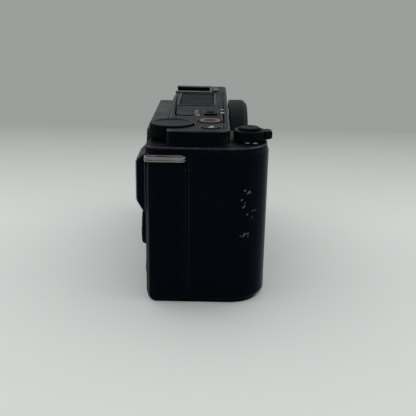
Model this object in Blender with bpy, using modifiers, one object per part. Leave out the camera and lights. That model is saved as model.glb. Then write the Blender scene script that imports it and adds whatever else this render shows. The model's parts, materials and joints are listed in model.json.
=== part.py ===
"""Compact interchangeable-lens camera with a body cap, built as separate pieces.

Frame: metres, +Z up, -Y the lens side, +Y the screen side, -X the grip end.
The origin is under the middle of the body, on the surface that it stands on.
Sizes below are in millimetres.
"""

import math

import bmesh
import bpy
from mathutils import Matrix, Vector

MM = 0.001
GAP = 0.3          # clearance between neighbouring pieces
ARC_STEPS = 5      # straight pieces in each rounded corner
WIDE_ARC_R = 8.0   # a corner rounder than this gets twice as many
FINE = 48          # sides of a large round piece
COARSE = 24        # sides of a small round piece

# Body: overall sizes and corner radii
WIDTH = 115.2
HALF = WIDTH / 2
REAR = 19.5
FRONT = -10.0
GRIP_FRONT = -23.3
GRIP_INNER = -29.0
SHOULDER = 57.2
TOP = 62.0
SKIRT = 49.5
BASE_T = 2.2
WALL = 2.6
ROOF = 1.8
SEAM = 4.85
REAR_R = 4.0
GRIP_R = 13.0
GRIP_INNER_R = 6.0
GRIP_FILLET_R = 5.5
FRONT_R = 4.0
FOOT_FRONT_R = 4.0
FOOT_REAR_R = 3.5

# Grip skin
SKIN_T = 1.0
SKIN_REAR = SEAM - 1.35
SKIN_LOW = 3.5
SKIN_INNER_X = GRIP_INNER - 3.0

# Raised top block
BLOCK_NEAR = -HALF + 5.2
BLOCK_FAR = HALF - 2.2
BLOCK_FRONT = -9.8
BLOCK_REAR_NEAR = 12.3
BLOCK_REAR_FAR = 14.0
BLOCK_R = 2.5
BLOCK_CORNER_R = 5.0   # the block's front corner at the grip end

# Lens mount, cap, shutter and sensor, all on one axis along Y
LENS_X = 11.5
LENS_Z = 31.5
MOUNT_OUTER_R = 27.5
THROAT_R = 23.0
MOUNT_PROUD = 1.3
MOUNT_SCREW_R = 25.2
MOUNT_SCREW_ANGLES = (45, 135, 225, 315)
SCREW_HEAD_R = 1.3
SCREW_SHANK_R = 0.8
CAP_RING_GAP = 0.7
CAP_FACE = -18.2
CAP_DISC_T = 2.0
CAP_SKIRT_T = 2.6
CAP_TUBE_T = 2.0
CAP_TUBE_END = -8.0
FLANGE_TO_SENSOR = 18.0
CHASSIS_T = 3.1
CHASSIS_RIM = 2.0
SHUTTER_DEPTH = 8.8
GATE_HALF = (12.5, 8.5)
SHUTTER_HALF = (22.5, 17.5)
SENSOR_GLASS_HALF = (14.0, 10.5)
SENSOR_GLASS_T = 1.0
PACKAGE_HALF = (15.0, 11.5)
PACKAGE_T = 2.0
PLATE_HALF = (18.5, 16.0)
PLATE_T = 1.2
BOARD_T = 1.2
MAIN_BOARD_FAR = 50.0
MAIN_BOARD_LOW = 5.0
LOCK_PIN_R = 1.1
LOCK_PIN_ANGLE = -20
LOCK_PIN_PROUD = 1.5
RELEASE_X = 48.5
RELEASE_Z = 20.0
RELEASE_R = 4.0
LAMP_X = -21.5
LAMP_Z = 44.0
LAMP_R = 1.5

# Top controls
BUTTON_PROUD = 0.15
BUTTON_FLANGE = 0.6
BUTTON_FLANGE_T = 1.0
DIAL_X = -39.8
DIAL_Y = 11.0
DIAL_R = 8.0
DIAL_TOP = 62.6
DIAL_WALL = 0.8
SHAFT_R = 2.0
SHUTTER_X = -42.6
SHUTTER_Y = -16.9
LEVER_R = 5.7
LEVER_T = 1.5
LEVER_TOP = 60.9
SHUTTER_TOP = 61.9
NUB_FRONT = -24.7
NUB_WIDTH = 5.0
CUSTOM_X = -45.2
CUSTOM_Y = -3.1
CUSTOM_R = 3.4
RECORD_X = -33.5
RECORD_Y = -2.7
RECORD_R = 4.6
MODE_X = -20.8
MODE_Y = 6.8
MODE_R = 3.4
POWER_NEAR = -22.2
POWER_FAR = -11.7
POWER_Y = -2.8
POWER_DEPTH = 5.0
POWER_KNOB = 6.0
GRILLE_NEAR = -0.4
GRILLE_FAR = 30.3
GRILLE_FRONT = -4.0
GRILLE_REAR = 10.5
GRILLE_T = 1.0
SHOE_X = 43.6
SHOE_SLOT = 18.6
SHOE_LIP_GAP = 12.7
SHOE_SIDE_T = 0.8
SHOE_FRONT = -3.2
SHOE_FLOOR = 59.3
SHOE_FLOOR_T = 0.5
SHOE_SLOT_H = 2.2
SHOE_LIP_T = 0.9

# Strap lugs
LUG_LENGTH = 14.3
LUG_PROUD = 3.6
LUG_T = 1.7
LUG_BAR = 1.3
LUG_Z = 53.8
LUG_NEAR_Y = 12.2
LUG_FAR_Y = 2.0
LUG_ANCHOR = 0.8
LUG_NECK = 6.4

# Rear controls
WHEEL_X = -46.2
WHEEL_Z = 25.4
WHEEL_R = 7.0
WHEEL_BORE_R = 3.9
WHEEL_PROUD = 1.4
WHEEL_SINK = 1.2
CENTRE_R = 3.6
CENTRE_STEM_R = 1.5
REAR_BUTTON_R = 2.6
REAR_BUTTON_PROUD = 0.6
REAR_BUTTONS = {
    "menu_button": (-26.0, 45.0),
    "function_button": (-26.5, 34.0),
    "playback_button": (-30.0, 11.0),
    "delete_button": (-50.5, 11.0),
}
THUMB_NEAR = -HALF + 2.6
THUMB_FAR = -37.0
THUMB_LOW = 33.2
THUMB_HIGH = 54.0
THUMB_PROUD = 2.8

# Monitor and its side hinge
RECESS_NEAR = -20.3
RECESS_LOW = 3.8
RECESS_FLOOR = 15.7
RECESS_WALL = 1.5
MONITOR_NEAR = -19.8
MONITOR_FAR = 52.5
MONITOR_LOW = 4.4
MONITOR_HIGH = 55.8
MONITOR_T = 6.2
MONITOR_R = 3.0
PANEL_T = 2.0
GLASS_T = 0.9
BEZEL = 2.0
HINGE_X = 55.3
HINGE_Y = 18.6
HINGE_R = 2.3
HINGE_PIN_R = 1.0
EAR_H = 6.0
EAR_LOW = 8.0
EAR_HIGH = 38.0

# Battery, card and their door
BATTERY_NEAR = -53.4
BATTERY_T = 18.5
BATTERY_FRONT = -13.4
BATTERY_REAR = 13.0
BATTERY_TOP = 47.0
BATTERY_R = 1.9
CASE_T = 0.8
CARD_WIDTH = 24.0
CARD_T = 2.1
CARD_HEIGHT = 32.0
CARD_FAR = -8.4
CARD_Y = 8.2
DOOR_NEAR = -54.5
DOOR_FRONT = -15.0
DOOR_REAR = 14.0
DOOR_STEP_X = -31.5
DOOR_STEP_Y = -6.5
DOOR_FAR = -6.5
DOOR_LIFT = 0.25
LATCH_X = -49.0
LATCH_LENGTH = 5.0
LATCH_WIDTH = 8.0
LATCH_TRAVEL = 3.0
LATCH_T = 1.0

# Tripod socket
SOCKET_Y = 3.0
SOCKET_R = 5.0
SOCKET_BORE_R = 3.2
SOCKET_H = 6.5

# Jack doors on the far end
JACK_DOOR_FRONT = -5.4
JACK_DOOR_REAR = 3.0
JACK_DOOR_T = 1.7
MIC_DOOR = (34.0, 46.0)
PORT_DOOR = (7.0, 30.0)
JACK_BOARD_T = 1.0

# Finishes: colour, roughness, metallic
BLACK_SHELL = ((0.012, 0.012, 0.014), 0.45, 0.0)
BLACK_RUBBER = ((0.010, 0.011, 0.014), 0.75, 0.0)
DARK_METAL = ((0.05, 0.05, 0.055), 0.4, 0.9)
STEEL = ((0.62, 0.62, 0.62), 0.3, 1.0)
RED_TRIM = ((0.30, 0.03, 0.03), 0.5, 0.0)
GLASS = ((0.01, 0.01, 0.012), 0.08, 0.0)
BOARD = ((0.02, 0.09, 0.05), 0.6, 0.0)
GREY = ((0.16, 0.16, 0.17), 0.6, 0.0)
GOLD = ((0.75, 0.55, 0.22), 0.35, 1.0)


def clear_scene():
    for item in list(bpy.data.objects):
        bpy.data.objects.remove(item, do_unlink=True)


clear_scene()
PARTS = bpy.data.collections.new("mirrorless_camera")
CUTTERS = bpy.data.collections.new("cutters")
for collection in (PARTS, CUTTERS):
    bpy.context.scene.collection.children.link(collection)

# Pieces with many cuts in one face, which the exact solver leaves open
MANIFOLD_PIECES = ("rear_cover", "top_cover")

# Local outline plane to world, for an outline that is pushed along each axis
PUSH = {
    "Z": Matrix.Identity(4),
    "X": Matrix(((0, 0, 1, 0), (1, 0, 0, 0), (0, 1, 0, 0), (0, 0, 0, 1))),
    "Y": Matrix(((1, 0, 0, 0), (0, 0, -1, 0), (0, 1, 0, 0), (0, 0, 0, 1))),
}


def rounded_outline(corners):
    """Points round a closed outline whose corners are (u, v, radius)."""
    points = []
    for i, (u, v, radius) in enumerate(corners):
        here = Vector((u, v))
        before = (Vector(corners[i - 1][:2]) - here).normalized()
        after = (Vector(corners[(i + 1) % len(corners)][:2]) - here).normalized()
        if radius <= 0:
            points.append(here)
            continue
        half = before.angle(after) / 2
        centre = here + (before + after).normalized() * radius / math.sin(half)
        start = here + before * radius / math.tan(half) - centre
        turn = math.pi - 2 * half
        if before.cross(after) > 0:
            turn = -turn
        steps = ARC_STEPS * 2 if radius > WIDE_ARC_R else ARC_STEPS
        for step in range(steps + 1):
            points.append(centre + Matrix.Rotation(turn * step / steps, 2) @ start)
    return points


def rectangle(low, high, radius=0.0):
    """Corners of an upright rectangle, all of one radius."""
    (u0, v0), (u1, v1) = low, high
    return [(u0, v0, radius), (u1, v0, radius), (u1, v1, radius), (u0, v1, radius)]


def new_object(name, mesh):
    made = bpy.data.objects.new(name, mesh)
    PARTS.objects.link(made)
    return made


def slab(name, corners, low, high, axis="Z"):
    """An outline in the plane across axis, pushed from low to high along it."""
    curve = bpy.data.curves.new(name, "CURVE")
    curve.dimensions = "2D"
    curve.fill_mode = "BOTH"
    curve.extrude = (high - low) / 2 * MM
    points = rounded_outline(corners)
    spline = curve.splines.new("POLY")
    spline.points.add(len(points) - 1)
    for place, point in zip(spline.points, points):
        place.co = (point.x * MM, point.y * MM, 0, 1)
    spline.use_cyclic_u = True
    guide = new_object(name + "_guide", curve)
    bpy.context.view_layer.update()
    evaluated = guide.evaluated_get(bpy.context.evaluated_depsgraph_get())
    mesh = bpy.data.meshes.new_from_object(evaluated)
    bpy.data.objects.remove(guide)
    middle = (low + high) / 2 * MM
    along = -middle if axis == "Y" else middle
    mesh.transform(PUSH[axis] @ Matrix.Translation((0, 0, along)))
    work = bmesh.new()
    work.from_mesh(mesh)
    bmesh.ops.remove_doubles(work, verts=work.verts, dist=1e-7)
    bmesh.ops.dissolve_limit(work, angle_limit=0.002, verts=work.verts, edges=work.edges)
    bmesh.ops.recalc_face_normals(work, faces=work.faces)
    work.to_mesh(mesh)
    work.free()
    return new_object(name, mesh)


def box(name, low, high):
    """A plain block between two corners."""
    mesh = bpy.data.meshes.new(name)
    size = [(b - a) * MM for a, b in zip(low, high)]
    centre = [(a + b) / 2 * MM for a, b in zip(low, high)]
    work = bmesh.new()
    place = Matrix.Translation(centre) @ Matrix.Diagonal((*size, 1.0))
    bmesh.ops.create_cube(work, size=1.0, matrix=place)
    work.to_mesh(mesh)
    work.free()
    return new_object(name, mesh)


def turned(name, profile, centre, axis="Z", sides=COARSE):
    """A profile of (radius, height) points, top to bottom, turned round an axis through centre."""
    mesh = bpy.data.meshes.new(name)
    work = bmesh.new()
    places = [work.verts.new((r * MM, 0, h * MM)) for r, h in profile]
    for first, second in zip(places, places[1:]):
        work.edges.new((first, second))
    if profile[0][0] > 0 and profile[-1][0] > 0:
        work.edges.new((places[-1], places[0]))
    work.to_mesh(mesh)
    work.free()
    made = new_object(name, mesh)
    screw = made.modifiers.new("turn", "SCREW")
    screw.steps = sides
    screw.render_steps = sides
    screw.use_merge_vertices = True
    screw.merge_threshold = 1e-6
    bpy.context.view_layer.update()
    evaluated = made.evaluated_get(bpy.context.evaluated_depsgraph_get())
    solid = bpy.data.meshes.new_from_object(evaluated)
    made.modifiers.remove(screw)
    made.data = solid
    lean = Matrix.Identity(4)
    if axis == "Y":
        lean = Matrix.Rotation(math.radians(90), 4, "X")
    if axis == "X":
        lean = Matrix.Rotation(math.radians(90), 4, "Y")
    solid.transform(Matrix.Translation(Vector(centre) * MM) @ lean)
    work = bmesh.new()
    work.from_mesh(solid)
    bmesh.ops.remove_doubles(work, verts=work.verts, dist=1e-7)
    bmesh.ops.recalc_face_normals(work, faces=work.faces)
    work.to_mesh(solid)
    work.free()
    solid.shade_smooth()
    solid.set_sharp_from_angle(angle=math.radians(35))
    return made


def rod(name, radius, low, high, across, axis="Z", sides=COARSE):
    """A round bar along axis from low to high, through the point across in the other two axes."""
    centre = {"Z": (*across, 0), "Y": (across[0], 0, across[1]), "X": (0, *across)}[axis]
    if axis == "Y":
        low, high = -high, -low
    return turned(name, [(0, high), (radius, high), (radius, low), (0, low)], centre, axis, sides)


def combine(part, tool, operation):
    change = part.modifiers.new(tool.name, "BOOLEAN")
    change.operation = operation
    change.solver = "MANIFOLD" if part.name in MANIFOLD_PIECES else "EXACT"
    change.object = tool
    tool.hide_render = True
    tool.display_type = "WIRE"
    PARTS.objects.unlink(tool)
    CUTTERS.objects.link(tool)
    return part


def cut(part, *tools):
    for tool in tools:
        combine(part, tool, "DIFFERENCE")
    return part


def fuse(part, *tools):
    for tool in tools:
        combine(part, tool, "UNION")
    return part


def keep(part, tool):
    return combine(part, tool, "INTERSECT")


def finish(part, look, origin=None):
    """Gives a piece its own material and, where it moves, its origin on the joint's axis."""
    colour, roughness, metallic = look
    material = bpy.data.materials.new(part.name)
    material.use_nodes = True
    shader = material.node_tree.nodes["Principled BSDF"]
    shader.inputs["Base Color"].default_value = (*colour, 1.0)
    shader.inputs["Roughness"].default_value = roughness
    shader.inputs["Metallic"].default_value = metallic
    part.data.materials.append(material)
    if origin is not None:
        place = Matrix.Translation(Vector(origin) * MM)
        part.data.transform(place.inverted())
        part.matrix_world = place @ part.matrix_world
    return part


# Derived places
INNER_REAR = REAR - WALL
INNER_FRONT = FRONT + WALL
MOUNT_FACE = FRONT - MOUNT_PROUD
CAP_R = MOUNT_OUTER_R + CAP_RING_GAP + CAP_SKIRT_T
CHASSIS_FRONT = INNER_FRONT + GAP
CHASSIS_REAR = CHASSIS_FRONT + CHASSIS_T
SENSOR_FACE = MOUNT_FACE + FLANGE_TO_SENSOR
BLOCK_CEILING = TOP - ROOF
FAR_OUT = 40.0     # how far a cutter runs past the piece that it cuts
TOP_BUTTONS = {
    "custom_button": (CUSTOM_X, CUSTOM_Y, CUSTOM_R),
    "record_button": (RECORD_X, RECORD_Y, RECORD_R),
    "mode_button": (MODE_X, MODE_Y, MODE_R),
}


def body_outline(inset):
    """Plan of the body with its grip, pulled in all round by inset."""
    near, far = -HALF + inset, HALF - inset
    grip, inner = GRIP_FRONT + inset, GRIP_INNER - inset
    front, rear = FRONT + inset, REAR - inset
    return [
        (near, rear, REAR_R - inset),
        (near, grip, GRIP_R - inset),
        (inner, grip, GRIP_INNER_R - inset),
        (inner, front, GRIP_FILLET_R + inset),
        (far, front, FRONT_R - inset),
        (far, rear, REAR_R - inset),
    ]


def block_outline(inset):
    """Plan of the raised top block, pulled in all round by inset."""
    near, far = BLOCK_NEAR + inset, BLOCK_FAR - inset
    radius = BLOCK_R - inset
    return [
        (near, BLOCK_REAR_NEAR - inset, radius),
        (near, BLOCK_FRONT + inset, BLOCK_CORNER_R - inset),
        (far, BLOCK_FRONT + inset, radius),
        (far, BLOCK_REAR_FAR - inset, radius),
    ]


def body_block(name, low, high):
    """The body's solid between two heights, with its rounded lower edges."""
    shift = 0.02
    foot = [
        (GRIP_FRONT - shift, 0, FOOT_FRONT_R),
        (REAR + shift, 0, FOOT_REAR_R),
        (REAR + shift, TOP + FAR_OUT, 0),
        (GRIP_FRONT - shift, TOP + FAR_OUT, 0),
    ]
    solid = slab(name, body_outline(0), low, high)
    return keep(solid, slab(name + "_foot", foot, -HALF - 1, HALF + 1, "X"))


def interior(name, low, high):
    """The hollow inside the covers, which steps in behind the monitor."""
    space = slab(name, body_outline(WALL), low, high)
    recess_wall = box(
        name + "_step",
        (RECESS_NEAR - ROOF, RECESS_FLOOR - RECESS_WALL, low - 1),
        (HALF + 1, REAR + 1, high + 1),
    )
    return cut(space, recess_wall)


def monitor_recess(name):
    return box(name, (RECESS_NEAR, RECESS_FLOOR, RECESS_LOW), (HALF + 1, REAR + 1, TOP + 1))


def mount_hole(name):
    hole_r = MOUNT_OUTER_R + GAP
    return rod(name, hole_r, FRONT - 5, CHASSIS_FRONT, (LENS_X, LENS_Z), "Y", FINE)


def grip_band(name, inner, margin):
    """A band round the grip from its outside in to inner, margin larger than the skin."""
    outer = slab(name, body_outline(-SKIN_T * 2), SKIN_LOW - margin, SKIRT - GAP + margin * 5)
    cut(outer, slab(name + "_core", body_outline(inner), 0, TOP))
    low = (-HALF - 5, GRIP_FRONT - 5, -1)
    return keep(outer, box(name + "_reach", low, (SKIN_INNER_X + margin, SKIN_REAR + margin, TOP)))


def make_front_cover():
    cover = body_block("front_cover", BASE_T + GAP, SKIRT - GAP)
    cut(cover, box("front_half", (-HALF - 1, SEAM - GAP / 2, -1), (HALF + 1, REAR + 1, TOP)))
    cut(cover, interior("front_inside", -1, TOP))
    cut(cover, grip_band("skin_seat", SKIN_T + GAP, GAP))
    cut(cover, mount_hole("front_mount_hole"))
    release_hole = rod(
        "release_hole", RELEASE_R + GAP, FRONT - 5, INNER_FRONT + 1, (RELEASE_X, RELEASE_Z), "Y"
    )
    lamp_hole = rod("lamp_hole", LAMP_R + GAP, FRONT - 5, INNER_FRONT + 1, (LAMP_X, LAMP_Z), "Y")
    cut(cover, release_hole, lamp_hole)
    for name, (low, high) in (("mic_opening", MIC_DOOR), ("port_opening", PORT_DOOR)):
        near_corner = (HALF - WALL - 1, JACK_DOOR_FRONT - GAP, low - GAP)
        cut(cover, box(name, near_corner, (HALF + 1, JACK_DOOR_REAR + GAP, high + GAP)))
    return finish(cover, BLACK_SHELL)


def make_grip_skin():
    skin = body_block("grip_skin", SKIN_LOW, SKIRT - GAP)
    return finish(keep(skin, grip_band("skin_band", SKIN_T, 0)), BLACK_RUBBER)


def make_rear_cover():
    cover = body_block("rear_cover", BASE_T + GAP, SKIRT - GAP)
    cut(cover, box("rear_half", (-HALF - 1, GRIP_FRONT - 1, -1), (HALF + 1, SEAM + GAP / 2, TOP)))
    cut(cover, interior("rear_inside", -1, TOP), monitor_recess("rear_recess"))
    wheel_floor = REAR - WHEEL_SINK - GAP
    wheel_at = (WHEEL_X, WHEEL_Z)
    cut(cover, rod("wheel_seat", WHEEL_R + GAP, wheel_floor, REAR + 5, wheel_at, "Y", FINE))
    cut(cover, rod("centre_hole", CENTRE_STEM_R + GAP, INNER_REAR - 1, REAR, wheel_at, "Y"))
    for name, place in REAR_BUTTONS.items():
        hole_r = REAR_BUTTON_R + GAP
        cut(cover, rod(name + "_hole", hole_r, INNER_REAR - 1, REAR + 5, place, "Y"))
    for name, low in (("lower_ear", EAR_LOW), ("upper_ear", EAR_HIGH)):
        web_low = (HINGE_X - HINGE_R * 0.65, RECESS_FLOOR - RECESS_WALL / 2, low)
        web_high = (HINGE_X + HINGE_R * 0.65, HINGE_Y, low + EAR_H)
        fuse(cover, box(name + "_web", web_low, web_high))
        fuse(cover, rod(name, HINGE_R, low, low + EAR_H, (HINGE_X, HINGE_Y)))
    pin_r = HINGE_PIN_R + GAP
    cut(cover, rod("ear_bore", pin_r, EAR_LOW - 1, EAR_HIGH + EAR_H + 1, (HINGE_X, HINGE_Y)))
    return finish(cover, BLACK_SHELL)


def lug_neck(name, side, centre, margin):
    """The neck of a strap lug, which passes through the top cover's wall."""
    inside = HALF - WALL - LUG_ANCHOR
    low = (inside, centre - LUG_NECK / 2 - margin, LUG_Z - LUG_T / 2 - margin)
    high = (HALF + GAP + LUG_BAR / 2, centre + LUG_NECK / 2 + margin, LUG_Z + LUG_T / 2 + margin)
    if side < 0:
        low, high = (-high[0], *low[1:]), (-low[0], *high[1:])
    return box(name, low, high)


def make_top_cover():
    cover = body_block("top_cover", SKIRT, SHOULDER)
    fuse(cover, slab("top_block", block_outline(0), SHOULDER - ROOF / 2, TOP))
    cut(cover, interior("top_inside", SKIRT - 1, SHOULDER - ROOF))
    hollow = slab("block_inside", block_outline(ROOF), SKIRT, BLOCK_CEILING)
    shoe_solid = SHOE_X - SHOE_SLOT / 2 - SHOE_SIDE_T - ROOF
    cut(hollow, box("shoe_bed", (shoe_solid, -FAR_OUT, SKIRT - 1), (HALF, FAR_OUT, TOP)))
    dial_at = (DIAL_X, DIAL_Y)
    dial_wall = DIAL_R + GAP + DIAL_WALL
    cut(hollow, rod("dial_bed", dial_wall, SKIRT - 1, TOP, dial_at, "Z", FINE))
    cut(cover, hollow, mount_hole("top_mount_hole"), monitor_recess("top_recess"))
    cut(cover, rod("dial_seat", DIAL_R + GAP, SHOULDER - GAP, TOP + 5, dial_at, "Z", FINE))
    cut(cover, rod("dial_bore", SHAFT_R + GAP, SKIRT, TOP, dial_at))
    cut(cover, rod("shutter_bore", SHAFT_R + GAP, SKIRT, TOP, (SHUTTER_X, SHUTTER_Y)))
    for name, (x, y, radius) in TOP_BUTTONS.items():
        cut(cover, rod(name + "_hole", radius + GAP, BLOCK_CEILING - 1, TOP + 5, (x, y)))
    power_low = (POWER_NEAR, POWER_Y - POWER_DEPTH / 2, BLOCK_CEILING - 1)
    power_high = (POWER_FAR, POWER_Y + POWER_DEPTH / 2, TOP + 5)
    cut(cover, box("power_slot", power_low, power_high))
    grille = rectangle((GRILLE_NEAR, GRILLE_FRONT), (GRILLE_FAR, GRILLE_REAR), 1.0)
    cut(cover, slab("grille_opening", grille, BLOCK_CEILING - 1, TOP + 5))
    shoe_half = SHOE_SLOT / 2 + SHOE_SIDE_T + GAP
    shoe_low = (SHOE_X - shoe_half, SHOE_FRONT - GAP, SHOE_FLOOR - SHOE_FLOOR_T - GAP)
    cut(cover, box("shoe_opening", shoe_low, (SHOE_X + shoe_half, REAR + 5, TOP + 5)))
    cut(cover, lug_neck("near_lug_slot", -1, LUG_NEAR_Y, GAP))
    cut(cover, lug_neck("far_lug_slot", 1, LUG_FAR_Y, GAP))
    return finish(cover, BLACK_SHELL)


def door_outline(margin):
    """Plan of the battery and card door, widened by margin."""
    front, step = DOOR_FRONT - margin, DOOR_STEP_Y - margin
    rear, near = DOOR_REAR + margin, DOOR_NEAR - margin
    return [
        (near, front, 2.0),
        (DOOR_STEP_X + margin, front, 2.0),
        (DOOR_STEP_X + margin, step, 1.0),
        (DOOR_FAR + margin, step, 0.5),
        (DOOR_FAR + margin, rear, 0.5),
        (near, rear, 2.0),
    ]


def make_base_plate():
    plate = body_block("base_plate", -1, BASE_T)
    cut(plate, slab("door_opening", door_outline(GAP), -5, BASE_T + 5))
    cut(plate, rod("socket_hole", SOCKET_R + GAP, -5, BASE_T + 5, (LENS_X, SOCKET_Y), "Z", FINE))
    return finish(plate, BLACK_SHELL)


def make_thumb_rest():
    outer = REAR + THUMB_PROUD
    profile = [
        (REAR + GAP, THUMB_LOW, 0),
        (outer, THUMB_LOW + 4.2, 1.5),
        (outer, THUMB_HIGH - 2.4, 1.0),
        (REAR + GAP, THUMB_HIGH, 0),
    ]
    finish(slab("thumb_rest", profile, THUMB_NEAR, THUMB_FAR, "X"), BLACK_RUBBER)


def make_strap_lug(name, side, centre):
    outer, inner = HALF + GAP + LUG_PROUD, HALF + GAP
    half = LUG_LENGTH / 2
    if side < 0:
        loop_low, loop_high = (-outer, centre - half), (-inner, centre + half)
        slot_low, slot_high = (-outer + LUG_BAR, centre - half + LUG_BAR), (-inner - LUG_BAR * 0.7, 0)
    else:
        loop_low, loop_high = (inner, centre - half), (outer, centre + half)
        slot_low, slot_high = (inner + LUG_BAR * 0.7, centre - half + LUG_BAR), (outer - LUG_BAR, 0)
    slot_high = (slot_high[0], centre + half - LUG_BAR)
    low, high = LUG_Z - LUG_T / 2, LUG_Z + LUG_T / 2
    lug = slab(name, rectangle(loop_low, loop_high, LUG_BAR), low, high)
    cut(lug, slab(name + "_slot", rectangle(slot_low, slot_high, 0.5), low - 1, high + 1))
    finish(fuse(lug, lug_neck(name + "_neck", side, centre, 0)), STEEL)


def make_mount():
    face, back = -MOUNT_FACE, -INNER_FRONT
    profile = [(MOUNT_OUTER_R, face), (MOUNT_OUTER_R, back), (THROAT_R, back), (THROAT_R, face)]
    ring = turned("lens_mount_ring", profile, (LENS_X, 0, LENS_Z), "Y", FINE)
    head_floor = MOUNT_FACE + 1.1
    for i, angle in enumerate(MOUNT_SCREW_ANGLES):
        turn = math.radians(angle)
        x = LENS_X + MOUNT_SCREW_R * math.cos(turn)
        z = LENS_Z + MOUNT_SCREW_R * math.sin(turn)
        cut(ring, rod(f"head_seat_{i}", SCREW_HEAD_R + GAP, FRONT - 5, head_floor, (x, z), "Y", 12))
        cut(ring, rod(f"shank_hole_{i}", SCREW_SHANK_R + GAP, FRONT - 5, 0, (x, z), "Y", 12))
        head_low, head_high = -head_floor + GAP, -MOUNT_FACE
        screw = [
            (0, head_high),
            (SCREW_HEAD_R, head_high),
            (SCREW_HEAD_R, head_low),
            (SCREW_SHANK_R, head_low),
            (SCREW_SHANK_R, back),
            (0, back),
        ]
        finish(turned(f"mount_screw_{i + 1}", screw, (x, 0, z), "Y", 12), DARK_METAL)
    turn = math.radians(LOCK_PIN_ANGLE)
    pin_at = (LENS_X + MOUNT_SCREW_R * math.cos(turn), LENS_Z + MOUNT_SCREW_R * math.sin(turn))
    cut(ring, rod("ring_pin_hole", LOCK_PIN_R + GAP, FRONT - 5, 0, pin_at, "Y", 12))
    finish(ring, STEEL)
    pin_low, pin_high = MOUNT_FACE - LOCK_PIN_PROUD, CHASSIS_REAR - CHASSIS_T / 2
    pin = rod("lens_lock_pin", LOCK_PIN_R, pin_low, pin_high, pin_at, "Y", 12)
    finish(pin, STEEL, (pin_at[0], pin_low, pin_at[1]))
    low = (LENS_X - MOUNT_OUTER_R, CHASSIS_FRONT, BASE_T + GAP)
    high = (LENS_X + MOUNT_OUTER_R + CHASSIS_RIM, CHASSIS_REAR, SHOULDER - ROOF - GAP)
    chassis = box("front_chassis", low, high)
    axis_at = (LENS_X, LENS_Z)
    cut(chassis, rod("chassis_throat", THROAT_R + GAP, FRONT - 5, 5, axis_at, "Y", FINE))
    cut(chassis, rod("chassis_pin_hole", LOCK_PIN_R + GAP, FRONT - 5, 5, pin_at, "Y", 12))
    finish(chassis, DARK_METAL)


def make_body_cap():
    face, disc_back = -CAP_FACE, -CAP_FACE - CAP_DISC_T
    skirt_end, tube_end = -FRONT + GAP + 0.1, -CAP_TUBE_END
    tube_r = THROAT_R - GAP - 0.1
    profile = [
        (0, face),
        (CAP_R - 1.6, face),
        (CAP_R - 0.5, face - 0.5),
        (CAP_R, face - 1.6),
        (CAP_R, skirt_end),
        (CAP_R - CAP_SKIRT_T, skirt_end),
        (CAP_R - CAP_SKIRT_T, disc_back),
        (tube_r, disc_back),
        (tube_r, tube_end),
        (tube_r - CAP_TUBE_T, tube_end),
        (tube_r - CAP_TUBE_T, disc_back),
        (0, disc_back),
    ]
    cap = turned("body_cap", profile, (LENS_X, 0, LENS_Z), "Y", FINE)
    finish(cap, BLACK_SHELL, (LENS_X, CAP_FACE, LENS_Z))


def centred_box(name, half, front, rear):
    """A block on the lens axis, of half sizes (across, up)."""
    low = (LENS_X - half[0], front, LENS_Z - half[1])
    return box(name, low, (LENS_X + half[0], rear, LENS_Z + half[1]))


def make_imaging_unit():
    unit_front = CHASSIS_REAR + GAP
    unit = centred_box("shutter_unit", SHUTTER_HALF, unit_front, unit_front + SHUTTER_DEPTH)
    cut(unit, centred_box("shutter_gate", GATE_HALF, -FAR_OUT, FAR_OUT))
    finish(unit, DARK_METAL)
    glass_rear = SENSOR_FACE - GAP
    glass = centred_box("sensor_glass", SENSOR_GLASS_HALF, glass_rear - SENSOR_GLASS_T, glass_rear)
    finish(glass, GLASS)
    package_rear = SENSOR_FACE + PACKAGE_T
    finish(centred_box("sensor_package", PACKAGE_HALF, SENSOR_FACE, package_rear), GOLD)
    plate_front = package_rear + GAP
    plate_rear = plate_front + PLATE_T
    finish(centred_box("sensor_plate", PLATE_HALF, plate_front, plate_rear), STEEL)
    board_front = plate_rear + GAP
    low = (LENS_X - PLATE_HALF[0], board_front, MAIN_BOARD_LOW)
    high = (MAIN_BOARD_FAR, board_front + BOARD_T, SKIRT - 1.5)
    finish(box("main_board", low, high), BOARD)


def make_release_button():
    profile = [
        (0, -FRONT + 0.8),
        (RELEASE_R, -FRONT + 0.8),
        (RELEASE_R, -INNER_FRONT - GAP),
        (RELEASE_R + 0.8, -INNER_FRONT - GAP),
        (RELEASE_R + 0.8, -INNER_FRONT - GAP - 0.8),
        (0, -INNER_FRONT - GAP - 0.8),
    ]
    button = turned("lens_release_button", profile, (RELEASE_X, 0, RELEASE_Z), "Y")
    finish(button, BLACK_SHELL, (RELEASE_X, FRONT, RELEASE_Z))
    lamp = rod("record_lamp", LAMP_R, FRONT - 0.2, INNER_FRONT, (LAMP_X, LAMP_Z), "Y", 16)
    finish(lamp, RED_TRIM)


def make_top_buttons():
    for name, (x, y, radius) in TOP_BUTTONS.items():
        under = BLOCK_CEILING - GAP
        profile = [
            (0, TOP + BUTTON_PROUD),
            (radius, TOP + BUTTON_PROUD),
            (radius, under),
            (radius + BUTTON_FLANGE, under),
            (radius + BUTTON_FLANGE, under - BUTTON_FLANGE_T),
            (0, under - BUTTON_FLANGE_T),
        ]
        look = RED_TRIM if name == "record_button" else BLACK_SHELL
        finish(turned(name, profile, (x, y, 0)), look, (x, y, TOP))


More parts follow.
